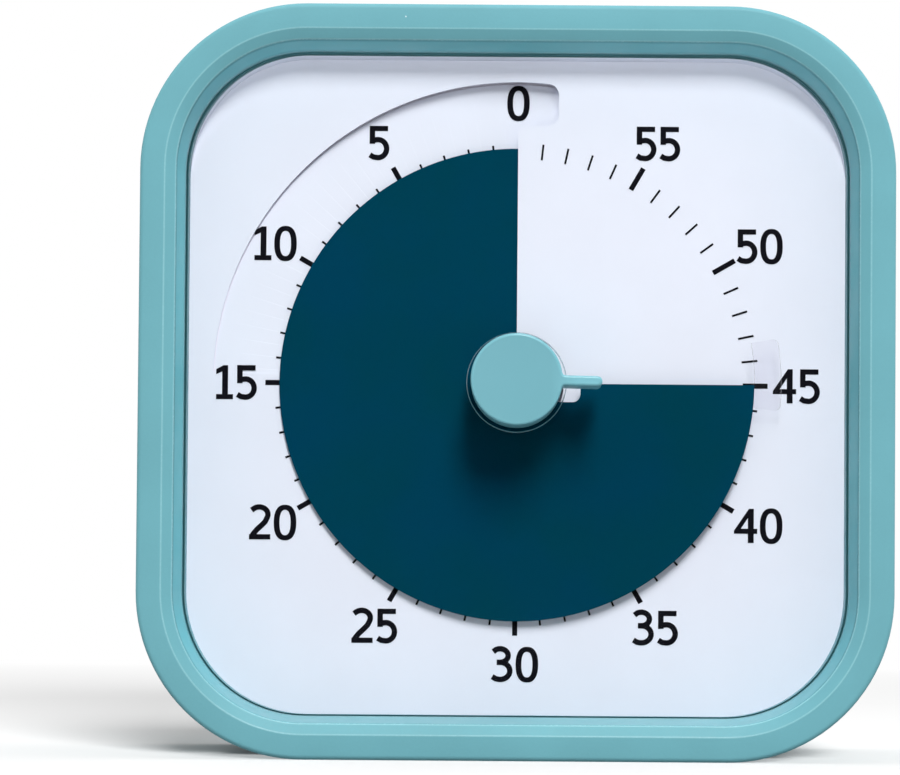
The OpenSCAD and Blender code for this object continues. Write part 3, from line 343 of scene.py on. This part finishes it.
def silicone(name, colour, smooth, rough, gloss=0.22):
    """Soft silicone: faint clouding, a fine velvet grain and a few specks of dust. Its
    roughness runs from smooth to rough."""
    s = Shader(name)
    clouds = s.noise(size_mm=14, detail=4)
    grain = s.noise(size_mm=0.35, detail=2)
    tone = s.mix(s.ramp(clouds, 0.35, 0.65), shade(colour, 0.968), shade(colour, 1.032))
    tone = s.mix(s.ramp(grain, 0.4, 0.75, 0, 0.10), tone, shade(colour, 1.18))
    dust = s.specks(size_mm=0.22, spacing_mm=4.5, share=0.10)
    tone = s.mix(s.math("MULTIPLY", dust, 0.75), tone, DUST)
    soft = s.bump(clouds, depth_mm=0.04)
    return s.surface(
        Base_Color=tone, Roughness=s.ramp(grain, 0.3, 0.7, smooth, rough),
        Specular_IOR_Level=gloss,
        Normal=s.bump(grain, depth_mm=0.012 * rough, under=soft))


def moulded(name, colour, roughness=0.42, grain_mm=0.25, grain_depth=0.008, cloud=0.04,
            gloss=0.35, change=None, lets_through=0.0):
    """Injection-moulded plastic: a spark-eroded grain, faint flow clouds and rubbed patches.
    change(s) gives a factor or a tint for the colour that differs from place to place."""
    s = Shader(name)
    clouds = s.noise(size_mm=22, detail=5)
    grain = s.noise(size_mm=grain_mm, detail=2)
    rubbed = s.noise(size_mm=6, detail=6)
    tone = s.mix(s.ramp(clouds, 0.35, 0.65), shade(colour, 1 - cloud), shade(colour, 1 + cloud))
    if change:
        tone = s.multiply(tone, change(s))
    return s.surface(
        lets_through, Base_Color=tone, Specular_IOR_Level=gloss,
        Roughness=s.ramp(rubbed, 0.35, 0.65, roughness - 0.05, roughness + 0.06),
        Normal=s.bump(grain, depth_mm=grain_depth))


def satin_sheet(name, colour, lets_through):
    """Thin satin sheet: a very slight mottle and a fine paper-like tooth."""
    s = Shader(name)
    clouds = s.noise(size_mm=9, detail=5)
    tooth = s.noise(size_mm=0.12, detail=3)
    tone = s.mix(s.ramp(clouds, 0.3, 0.7), shade(colour, 0.985), shade(colour, 1.012))
    return s.surface(lets_through, Base_Color=tone, Roughness=s.ramp(tooth, 0.3, 0.7, 0.5, 0.62),
                     Specular_IOR_Level=0.3, Normal=s.bump(tooth, depth_mm=0.002))


def painted_foot_shade_and_sheen(s):
    """A tint for the bezel's wall: a painted sheen, greyer along the bottom, and painted shade,
    darker at its foot next to the lens, most of all above."""
    painted_sheen_tint, plain_tint = rgb(1.50, 0.91, 0.92), rgb(0.98, 1.05, 1.07)
    foot_below, foot_above = 0.75, 0.38
    margin = 10 * MM
    painted_sheen_to, plain_from = cover_low.z + 5 * MM, cover_low.z + 15 * MM
    foot_from, foot_to = cover_low.y + 4.5 * MM, cover_low.y + LENS_FRONT * MM
    up = s.along("Z")
    foot = s.ramp(up, cover_low.z + margin, cover_high.z - margin, foot_below, foot_above)
    foot = s.ramp(s.along("Y"), foot_from, foot_to, 1.0, foot)
    tint = s.mix(s.ramp(up, painted_sheen_to, plain_from), painted_sheen_tint, plain_tint)
    return s.multiply(tint, foot)


def paler_pointer(s):
    """A factor for the knob: paler out along its pointer than on its disc."""
    paler = 1.22
    before, beyond = (KNOB_R - 1.5) * MM, (KNOB_R + 2) * MM
    return s.ramp(s.along("X"), MIDDLE.x + before, MIDDLE.x + beyond, 1.0, paler)


def printing_ink():
    """Screen-printed ink: near black, with tiny thin spots."""
    s = Shader("dial_ink_black")
    spots = s.noise(size_mm=0.3, detail=4)
    tone = s.mix(s.ramp(spots, 0.62, 0.78), INK, THIN_INK)
    return s.surface(Base_Color=tone, Roughness=s.ramp(spots, 0.3, 0.7, 0.5, 0.65),
                     Specular_IOR_Level=0.03, Normal=s.bump(spots, depth_mm=0.004))


def petrol_film():
    """The turning disk: dark petrol film with a faint drift of tone and stray pale specks."""
    s = Shader("disk_petrol_film")
    drift = s.noise(size_mm=16, detail=3)
    fine = s.noise(size_mm=0.6, detail=3)
    tone = s.mix(s.ramp(drift, 0.35, 0.65), PETROL, BLUER_PETROL)
    stray = s.specks(size_mm=0.24, spacing_mm=2.6, share=0.10)
    tone = s.mix(s.math("MULTIPLY", stray, 0.16), tone, PETROL_SPECK)
    return s.surface(Base_Color=tone, Roughness=s.ramp(fine, 0.3, 0.7, 0.44, 0.56),
                     Specular_IOR_Level=0.0, Normal=s.bump(fine, depth_mm=0.003))


def clear_sheet(name, tint, ior, veil, veil_colour, smear_mm):
    """Clear plastic: see-through, with a weak gloss and a smeary veil over this share of it."""
    s = Shader(name)
    smear = s.noise(size_mm=smear_mm, detail=4)
    gloss = s.add("ShaderNodeBsdfGlossy", {
        "Color": grey(0.9), "Roughness": s.ramp(smear, 0.3, 0.7, 0.04, 0.10)})
    haze = s.add("ShaderNodeBsdfDiffuse", {"Color": veil_colour})
    seen_through = s.add("ShaderNodeBsdfTransparent", {"Color": tint})
    veiled = s.ramp(smear, 0.35, 0.65, veil * 0.8, veil * 1.2)
    body = s.blend(veiled, seen_through.outputs[0], haze.outputs[0])
    edge = s.add("ShaderNodeFresnel", {"IOR": ior}).outputs[0]
    return s.output(s.blend(edge, body, gloss.outputs[0]))


def metal(name, colour, roughness, stretch=(1, 12, 1), grain_mm=0.5):
    """Drawn, turned or plated metal with fine lines along one way."""
    s = Shader(name)
    lines = s.noise(size_mm=grain_mm, detail=4, stretch=stretch)
    stain = s.noise(size_mm=5, detail=4)
    tone = s.mix(s.ramp(stain, 0.35, 0.65), shade(colour, 0.9), shade(colour, 1.06))
    return s.surface(
        Base_Color=tone, Metallic=1.0,
        Roughness=s.ramp(lines, 0.3, 0.7, roughness - 0.08, roughness + 0.10),
        Normal=s.bump(lines, depth_mm=0.004))


def wound_wire():
    """Enamelled copper wire, wound turn by turn along the coil."""
    s = Shader("copper_winding")
    turns = s.waves(size_mm=0.14, direction="X", distortion=0.6)
    tone = s.mix(turns, COPPER_SHADE, COPPER)
    return s.surface(Base_Color=tone, Metallic=0.85, Roughness=0.3,
                     Normal=s.bump(turns, depth_mm=0.05))


def board():
    """Green solder mask over faint tracks."""
    s = Shader("board_green_mask")
    bands = s.waves(size_mm=1.3, direction="DIAGONAL", distortion=9)
    tracks = s.math("GREATER_THAN", bands, 0.72)
    fibres = s.noise(size_mm=0.2, detail=2, stretch=(1, 1, 5))
    tone = s.mix(s.math("MULTIPLY", tracks, 0.6), MASK_GREEN, TRACK_GREEN)
    return s.surface(Base_Color=tone, Roughness=s.ramp(fibres, 0.3, 0.7, 0.28, 0.42),
                     Normal=s.bump(fibres, depth_mm=0.006))


def battery_wrap():
    """A plain bronze wrap with a fine brushed sheen under a clear coat."""
    s = Shader("battery_wrap_bronze")
    lines = s.noise(size_mm=0.25, detail=3, stretch=(0.05, 1, 1))
    tone = s.mix(s.ramp(lines, 0.3, 0.7), WRAP_DARK, WRAP_BRONZE)
    return s.surface(
        Base_Color=tone, Metallic=0.35, Roughness=s.ramp(lines, 0.3, 0.7, 0.28, 0.4),
        Coat_Weight=0.4, Coat_Roughness=0.15, Normal=s.bump(lines, depth_mm=0.003))


# --- Pieces of the scene's own -----------------------------------------------


def cover_sleeve(material, worn_highlit_material, inner_material):
    """The silicone sleeve: a front lip, a slope down to the bezel, and a back lip. Both edges
    of the slope are worn smooth and painted paler as highlight lines, and the lip's inner side is
    dull."""
    segments = 6
    # (inset, depth, corner radius) of each corner, in from the front's flat and all the way round
    profile = rounded([
        (LIP_FLAT, 0, 0.5), (BEZEL_INSET, LIP_SLOPE, 0.25), (BEZEL_INSET, LIP_BACK, 0),
        (COVER_INNER, LIP_BACK, 0), (COVER_INNER, REAR_LIP_FRONT, 0),
        (REAR_LIP_INSET, REAR_LIP_FRONT, 0.12), (REAR_LIP_INSET, BODY_DEPTH, 0.4),
        (0, BODY_DEPTH, 0.68), (0, 0, 0.62)], segments)
    ring = body_ring()
    points = [body_point(place, p.x, p.y) for place in ring for p in profile]
    faces = grid_faces(len(ring), len(profile), True, True)
    upper_edge, lower_edge = range(segments), range(segments + 1, 2 * segments + 1)
    inner_side = lower_edge[-1] + 1
    columns = [i % len(profile) for i in range(len(faces))]
    # Both edges of the slope: glossier, and painted paler as highlight lines
    worn_highlit_faces = [i for i, column in enumerate(columns) if column in (*upper_edge, *lower_edge)]
    inner = [i for i, column in enumerate(columns) if column == inner_side]
    return make_object("cover_sleeve", points, faces, "case", "silicone_cover",
                       [material, worn_highlit_material, inner_material], others=[worn_highlit_faces, inner])


def knob_outline(inset):
    """The knob's outline seen from the front, pointer to the right, drawn in by inset."""
    disc_steps, fillet_steps, tip_steps = 60, 8, 16
    disc, half = KNOB_R - inset, POINTER_HALF_W - inset
    fillet = POINTER_FILLET + inset
    root = math.asin((half + fillet) / (disc + fillet))
    middle = Vector(((disc + fillet) * math.cos(root), half + fillet))
    upper_disc = []
    for a in steps(root, math.pi, disc_steps):
        upper_disc.append(Vector((disc * math.cos(a), disc * math.sin(a))))
    upper_fillet = []
    for a in steps(math.pi + root, 1.5 * math.pi, fillet_steps)[1:]:
        upper_fillet.append(middle + fillet * Vector((math.cos(a), math.sin(a))))
    tip_x = POINTER_L - POINTER_HALF_W
    tip = []
    for a in steps(0, math.pi, tip_steps):
        tip.append(Vector((tip_x + half * math.sin(a), half * math.cos(a))))
    lower_fillet = [Vector((p.x, -p.y)) for p in upper_fillet]
    lower_disc = [Vector((p.x, -p.y)) for p in upper_disc[1:-1]]
    outline = upper_disc[::-1] + upper_fillet + tip + lower_fillet[::-1] + lower_disc
    drop = Matrix.Rotation(-math.radians(POINTER_DROP), 2)
    return [drop @ p for p in outline]


def knob_cap(material, worn_highlit_material):
    """The knob and its pointer, with a soft, worn front edge that is painted paler as a highlight,
    over a plain round skirt.
    """
    edge, dish, chamfer, sunk, bevel = 0.34, 0.012, 0.15, 0.01, 0.2
    arc = steps(math.pi / 12, math.pi / 2, 5)
    # (inset, depth) of each ring: the dished front, the rounded edge, the side, the back
    levels = [(0.5, dish), (edge, 0.0)]
    levels += [(edge * (1 - math.sin(a)), edge * (1 - math.cos(a))) for a in arc]
    levels += [(0, 2.5), (0, POINTER_BOTTOM - chamfer), (chamfer, POINTER_BOTTOM)]
    rings = [knob_outline(inset) for inset, _ in levels]
    count = len(rings[0])
    points = [at(p.x, DIAL_RISE + p.y, depth)
              for ring, (_, depth) in zip(rings, levels) for p in ring]
    faces = grid_faces(len(levels), count, False, True)
    # The rounded front edge: glossier, and painted paler as a highlight
    worn_highlit_faces = range(count, len(arc) * count)
    faces.append(list(range(count))[::-1])
    faces.append(list(range((len(levels) - 1) * count, len(levels) * count)))
    skirt = [(KNOB_R, POINTER_BOTTOM - chamfer - sunk), (KNOB_R, KNOB_BOTTOM - bevel),
             (KNOB_R - bevel, KNOB_BOTTOM), (SKIRT_INNER_R, KNOB_BOTTOM)]
    turns = 96
    start = len(points)
    for r, depth in skirt:
        points += [on_dial(r, 360 * i / turns, depth) for i in range(turns)]
    faces += grid_faces(len(skirt), turns, False, True, start)
    return make_object("knob_cap", points, faces, "knob_and_spindle", "knob",
                       [material, worn_highlit_material], sharp=30, others=[worn_highlit_faces])


def lens_reach(turn, inset):
    """How far the body's rounded square, drawn in by inset, lies from its middle."""
    x, y = abs(math.cos(turn)), abs(math.sin(turn))
    half, r = BODY_HALF - inset, CORNER_R - inset
    centre = half - r
    reach = half / max(x, y)
    if reach * min(x, y) > centre:
        along = (x + y) * centre
        reach = along + math.sqrt(along ** 2 - 2 * centre ** 2 + r ** 2)
    return reach


def lens_plate(material, hole_material, painted_shade_material):
    """The clear plate, with a round hole at the dial's axis, softened edges, and an outer edge
    painted dark as the shade where it meets the housing."""
    turns = 288
    soft = 0.12
    points = []
    for i in range(turns):
        a = 2 * math.pi * i / turns
        for inset, depth in ((soft, LENS_FRONT), (0, LENS_FRONT + soft), (0, LENS_BACK - soft),
                             (soft, LENS_BACK)):
            reach = lens_reach(a, LENS_INSET + inset)
            points.append(at(reach * math.cos(a), reach * math.sin(a), depth))
        for grow, depth in ((soft, LENS_BACK), (0, LENS_BACK - soft), (0, LENS_FRONT + soft),
                            (soft, LENS_FRONT)):
            r = LENS_HOLE_R + grow
            points.append(at(r * math.cos(a), DIAL_RISE + r * math.sin(a), depth))
    columns = len(points) // turns
    faces = grid_faces(turns, columns, True, True)
    # The outer edge, painted dark as the shade where the plate meets the housing
    painted_shade_edge = [i for i in range(len(faces)) if i % columns in (0, 1, 2)]
    hole = [i for i in range(len(faces)) if i % columns in (4, 5, 6)]
    return make_object("lens_plate", points, faces, "case", "lens",
                       [material, hole_material, painted_shade_material], sharp=20,
                       others=[hole, painted_shade_edge])


def window_frame(material):
    """A thin white wedge over the window, along its wall from just behind the lens to the dial.
    It runs out to nothing round the upper corners."""
    gap, thick_front, thick_back, lowest = 0.02, 0.02, 0.1, 0.05
    outer = WINDOW_INSET + gap
    front, back = LENS_BACK + 0.4, DIAL_DEPTH - gap
    profile = [(outer, front), (outer + thick_front, front), (outer + thick_back, back),
               (outer, back)]
    row = len(profile)
    points = []
    for place in body_ring():
        _, centre_y, _, height = place
        if centre_y > 0 and height > lowest:
            points += [body_point(place, x, back - (back - y) * height) for x, y in profile]
    faces = grid_faces(len(points) // row, row, False, True) + end_faces(points, row)
    return make_object("window_frame", points, faces, "case", "", [material])


def disk_depth(angle):
    """How deep the disk lies at this angle from 12 o'clock."""
    return DISK_ZERO_DEPTH - DISK_RISE * angle / 360


def disk_inner(behind):
    """The disk's inner edge, behind degrees back from the leading edge: a rounded square cut
    beside the hub's hole."""
    if behind > CUT_END:
        return HUB_HOLE_R
    way = Vector((math.cos(math.radians(behind)), math.sin(math.radians(behind))))
    reach = min(CUT_L / way.x, CUT_W / max(way.y, 1e-4))
    corner = Vector((CUT_L - CUT_CORNER, CUT_W - CUT_CORNER))
    point = way * reach
    if point.x > corner.x and point.y > corner.y:
        along = way.dot(corner)
        reach = along + math.sqrt(along ** 2 - corner.length_squared + CUT_CORNER ** 2)
    return max(HUB_HOLE_R, reach)


def disk_sheet(material):
    """The petrol disk: one thin turn of a screw, so that its leading edge climbs over its end."""
    # Degrees back from the leading edge, closer together along the cut
    behind = steps(0, 2, 12) + steps(3, CUT_END, 74) + steps(CUT_END + 2, 360, 159)
    soft, inner_band, outer_band = DISK_T * 0.3, 1.2, 0.5
    points = []
    for back in behind:
        angle = LEAD_ANGLE - back
        depth = disk_depth(angle)
        inner = disk_inner(back)
        front, rear = depth - DISK_T / 2, depth + DISK_T / 2
        for r, d in ((inner, rear - soft), (inner, front + soft),
                     (inner + soft, front), (inner + inner_band, front),
                     (DISK_R - outer_band, front), (DISK_R - soft, front),
                     (DISK_R, front + soft), (DISK_R, rear - soft),
                     (DISK_R - soft, rear), (inner + soft, rear)):
            points.append(on_dial(r, angle, d))
    row = len(points) // len(behind)
    faces = grid_faces(len(behind), row, False, True) + end_faces(points, row)
    return make_object("disk_sheet", points, faces, "disk_and_hub", "timer_disk",
                       [material], sharp=40)


def film_tab(material, edge_material):
    """The clear film on the disk's leading edge: it runs on ahead and outside it."""
    # The rounded ends, and where coarser steps start, in degrees; the cut edge's width, in mm
    end, inside, rim = 1.4, 2, 0.10
    first, last = LEAD_ANGLE - TAB_BEHIND, LEAD_ANGLE + TAB_AHEAD
    angles = steps(first, first + end, 8) + steps(first + inside, last - inside, 14)
    angles += steps(last - end, last, 8)
    points = []
    for angle in angles:
        to_end = math.radians(min(angle - first, last - angle)) * TAB_OUTER_R
        short = max(0, TAB_CORNER - to_end)
        outer = TAB_OUTER_R - TAB_CORNER + math.sqrt(max(0, TAB_CORNER ** 2 - short ** 2))
        inner = TAB_INNER_R if angle <= LEAD_ANGLE else DISK_R
        middle = disk_depth(angle)
        radii = [inner, inner + rim] + steps(inner + rim, outer - rim, 8)[1:] + [outer]
        for r in radii:
            points.append(on_dial(r, angle, middle - TAB_T / 2))
        for r in radii[::-1]:
            points.append(on_dial(r, angle, middle + TAB_T / 2))
    row = 2 * len(radii)
    faces = grid_faces(len(angles), row, False, True)
    rims = (0, row // 2 - 2, row // 2 - 1, row // 2, row - 2, row - 1)
    edges = [i for i in range(len(faces)) if i % row in rims]
    edges += [len(faces), len(faces) + 1]
    faces += end_faces(points, row)
    return make_object("film_tab", points, faces, "disk_and_hub", "disk_tab",
                       [material, edge_material], sharp=50, others=[edges])


# --- CAD nodes that stay -----------------------------------------------------


def dress(node, material):
    """Gives a CAD node its material."""
    piece = nodes[node]
    if not piece.material_slots:
        piece.data.materials.append(None)
    for slot in piece.material_slots:
        slot.material = material


def dress_case():
    # The bezel's wall takes painted shade at its foot and a painted sheen along its bottom
    dress("front_housing", moulded("bezel_teal", HOUSING_TEAL, gloss=0.32, change=painted_foot_shade_and_sheen))
    dress("rear_housing", moulded("housing_teal", HOUSING_TEAL))
    dress("battery_door", moulded("door_teal", HOUSING_TEAL, roughness=0.40))
    dress("dial_face", satin_sheet("dial_sheet_white", DIAL_WHITE, lets_through=0.86))
    ink = printing_ink()
    dress("dial_ticks", ink)
    dress("dial_numerals", ink)
    dress("dial_carrier", moulded("carrier_white", CARRIER_WHITE, roughness=0.45))
    dress("disk_hub", moulded("hub_black", HUB_BLACK, roughness=0.4))
    dress("sound_slider", moulded("slider_white", SLIDER_WHITE, roughness=0.38))
    dress("sound_switch", metal("switch_nickel", NICKEL, roughness=0.3))
    dress("housing_screws", metal("screw_zinc", STEEL, roughness=0.3))


def dress_movement():
    white = moulded("movement_white", MOVEMENT_WHITE, roughness=0.5)
    dress("movement_front_case", white)
    dress("movement_rear_case", white)
    dress("movement_screws", metal("movement_screw_zinc", STEEL, roughness=0.3))
    nylon = moulded("wheel_nylon", NYLON, roughness=0.45, grain_mm=0.4)
    for node in ("third_wheel", "fourth_wheel", "intermediate_wheel", "rotor_shaft", "alarm_cam"):
        dress(node, nylon)
    brass = metal("stamped_brass", BRASS, roughness=0.26, stretch=(1, 1, 10))
    for node in ("centre_wheel", "clutch_spring", "alarm_contact"):
        dress(node, brass)
    steel = metal("turned_steel", STEEL, roughness=0.24, stretch=(10, 1, 10), grain_mm=0.3)
    for node in ("spindle", "clutch_clip", "stator_plate", "coil_core", "quartz_crystal"):
        dress(node, steel)
    dress("rotor_magnet", metal("sintered_magnet", MAGNET, roughness=0.5, stretch=(1, 1, 1),
                                grain_mm=0.3))
    dress("coil_bobbin", moulded("bobbin_black", HUB_BLACK, roughness=0.45))
    dress("coil_winding", wound_wire())
    dress("circuit_board", board())
    dress("timer_chip", moulded("chip_black", BLACK, roughness=0.5, grain_mm=0.15))


def dress_power():
    dress("battery", battery_wrap())
    nickel = metal("plated_contact", NICKEL, roughness=0.2, stretch=(1, 1, 6))
    dress("battery_contact_positive", nickel)
    dress("battery_contact_negative", nickel)
    dress("battery_leads", moulded("lead_red", LEAD_RED, roughness=0.4, grain_mm=0.5))
    dress("buzzer_leads", moulded("lead_black", LEAD_BLACK, roughness=0.4, grain_mm=0.5))
    dress("buzzer", moulded("buzzer_black", BLACK, roughness=0.45, grain_mm=0.3))


# --- Stage -------------------------------------------------------------------

# The photograph's size and the knob's place in it, in pixels
PHOTO_W, PHOTO_H = 900, 775
KNOB_X, KNOB_Y = 516.7, 379.0

# The camera's place, in metres from the face's middle, the rim and the floor, and its turn
CAMERA_LEFT, CAMERA_BEFORE, CAMERA_HEIGHT = 0.001, 0.464, 0.0184
CAMERA_PITCH, CAMERA_ROLL = math.radians(1.98), math.radians(0.43)

# What the floor returns to the camera and to the light's bounces, and where it turns plain
FLOOR_SEEN, FLOOR_RETURNED = 0.56, 0.25
FLOOR_PLAIN_FROM, FLOOR_PLAIN_TO = 0.3, 0.8


def make_camera():
    """The photograph's view: from just below the dial's axis, looking slightly up."""
    data = bpy.data.cameras.new("camera")
    data.sensor_width = 36
    data.lens = 150.0
    camera = bpy.data.objects.new("camera", data)
    bpy.context.scene.collection.objects.link(camera)
    across = Vector((1, 0, 0))
    ahead = Vector((0, math.cos(CAMERA_PITCH), math.sin(CAMERA_PITCH)))
    above = across.cross(ahead)
    turn = Matrix.Rotation(-CAMERA_ROLL, 3, ahead)
    across, above = turn @ across, turn @ above
    place = Vector((MIDDLE.x - CAMERA_LEFT, cover_low.y - CAMERA_BEFORE, CAMERA_HEIGHT))
    camera.matrix_world = Matrix.Translation(place) @ Matrix(
        (across, above, -ahead)).transposed().to_4x4()
    seen = Matrix((across, above, ahead)) @ (at(0, DIAL_RISE, 0) - place)
    scale = data.lens / data.sensor_width
    data.shift_x = 0.5 + scale * seen.x / seen.z - KNOB_X / PHOTO_W
    data.shift_y = (KNOB_Y - PHOTO_H / 2) / PHOTO_W + scale * seen.y / seen.z
    bpy.context.scene.camera = camera


def lamp(name, azimuth, elevation, distance, size, light):
    """A soft lamp that gives a surface which faces it this much light, in W/m2.
    Azimuth 0 is in front of the object, and 90 to its right."""
    data = bpy.data.lights.new(name, "AREA")
    data.shape = "RECTANGLE"
    data.size, data.size_y = size
    data.energy = math.pi * distance ** 2 * light
    one = bpy.data.objects.new(name, data)
    bpy.context.scene.collection.objects.link(one)
    a, e = math.radians(azimuth), math.radians(elevation)
    way = Vector((math.sin(a) * math.cos(e), -math.cos(a) * math.cos(e), math.sin(e)))
    one.location = MIDDLE + way * distance
    one.rotation_mode = "QUATERNION"
    one.rotation_quaternion = way.to_track_quat("Z", "Y")
    return one


def make_lights(rim_pieces, floor):
    """A tall key lamp from above that lights the dial over the rim, and a low one that gives
    the floor its long soft shadow."""
    key = lamp("key", azimuth=11, elevation=43, distance=3, size=(0.8, 1.4), light=3.1)
    over_rim = bpy.data.collections.new("key_over_rim")
    key.light_linking.blocker_collection = over_rim
    for piece in rim_pieces:
        over_rim.objects.link(piece)
    for entry in over_rim.collection_objects:
        entry.light_linking.link_state = "EXCLUDE"
    low = lamp("low", azimuth=11, elevation=11, distance=4.5, size=(1.1, 0.9), light=8)
    floor_only = bpy.data.collections.new("low_on_floor")
    low.light_linking.receiver_collection = floor_only
    floor_only.objects.link(floor)


def seen_directly(s):
    """1 for rays that show a surface or the background: camera, glossy and transmitted ones."""
    path = s.add("ShaderNodeLightPath").outputs
    return s.math("MAXIMUM", path["Is Camera Ray"],
                  s.math("MAXIMUM", path["Is Glossy Ray"], path["Is Transmission Ray"]))


def make_floor():
    """A white floor: it takes the object's shadow near by, and shows plain white further off."""
    half = 4
    mesh = bpy.data.meshes.new("floor")
    mesh.from_pydata([(-half, -half, 0), (half, -half, 0), (half, half, 0), (-half, half, 0)],
                     [], [(0, 1, 2, 3)])
    floor = bpy.data.objects.new("floor", mesh)
    bpy.context.scene.collection.objects.link(floor)
    s = Shader("floor_white")
    distance = s.add("ShaderNodeVectorMath", {0: s.place}, operation="LENGTH").outputs["Value"]
    shown = s.add("ShaderNodeLightPath").outputs["Is Camera Ray"]
    returned = s.mix(shown, grey(FLOOR_RETURNED), grey(FLOOR_SEEN))
    near = s.add("ShaderNodeBsdfDiffuse", {"Color": returned})
    plain = s.add("ShaderNodeBsdfDiffuse", {"Color": grey(FLOOR_RETURNED)})
    white = s.add("ShaderNodeEmission", {"Color": grey(1), "Strength": 1.0})
    far = s.blend(seen_directly(s), plain.outputs[0], white.outputs[0])
    plain_share = s.ramp(distance, FLOOR_PLAIN_FROM, FLOOR_PLAIN_TO)
    mesh.materials.append(s.output(s.blend(plain_share, near.outputs[0], far)))
    return floor


def make_world():
    """A white surround beside and behind the object, and a dim room behind the camera."""
    world = bpy.data.worlds.new("studio")
    bpy.context.scene.world = world
    s = Shader(world)
    way = s.add("ShaderNodeTexCoord").outputs["Generated"]
    y = s.add("ShaderNodeSeparateXYZ", {0: way}).outputs["Y"]
    shown = s.add("ShaderNodeLightPath").outputs["Is Camera Ray"]
    room = s.ramp(y, low=-0.7, high=0.0, to_low=0.14, to_high=1.0)
    strength = s.math("MAXIMUM", room, shown)
    back = s.add("ShaderNodeBackground", {"Color": grey(1), "Strength": strength})
    s.add("ShaderNodeOutputWorld", {"Surface": back.outputs[0]})


# --- Build -------------------------------------------------------------------

cover = cover_sleeve(
    silicone("cover_teal_silicone", COVER_TEAL, smooth=0.46, rough=0.58),
    # The slope's edges: glossier wear, with a paler colour that is a painted highlight
    silicone("cover_worn_silicone", PAINTED_HIGHLIGHT_TEAL, smooth=0.22, rough=0.30),
    silicone("cover_dull_silicone", COVER_TEAL, smooth=0.6, rough=0.7, gloss=0.0))
knob_cap(
    moulded("knob_teal_plastic", KNOB_TEAL, roughness=0.36, grain_mm=0.3, grain_depth=0.004,
            cloud=0.025, change=paler_pointer),
    # Its edge: glossier wear, with a paler colour that is a painted highlight
    moulded("knob_worn_plastic", shade(KNOB_TEAL, 1.12), roughness=0.28, grain_mm=0.3,
            grain_depth=0.004, cloud=0.025))
lens_plate(
    clear_sheet("lens_clear_plate", CLEAR, 1.07, veil=0.0002, veil_colour=LENS_VEIL, smear_mm=11),
    clear_sheet("lens_cut_edge", CLEAR, 1.4, veil=0.40, veil_colour=LENS_EDGE, smear_mm=2),
    # Painted shade: a dark edge that lets all the light through
    moulded("lens_bond_dark", shade(HOUSING_TEAL, 0.26), roughness=0.5, lets_through=1.0))
window_frame(satin_sheet("window_strip_white", DIAL_WHITE, lets_through=0.48))
disk_sheet(petrol_film())
film_tab(
    clear_sheet("film_clear_tab", FILM_TINT, 1.1, veil=0.004, veil_colour=FILM_VEIL, smear_mm=5),
    clear_sheet("film_cut_edge", CLEAR, 1.4, veil=0.18, veil_colour=FILM_EDGE, smear_mm=2))
dress_case()
dress_movement()
dress_power()
make_camera()
make_lights([cover, nodes["front_housing"]], make_floor())
make_world()

bpy.context.scene.view_settings.view_transform = "Standard"
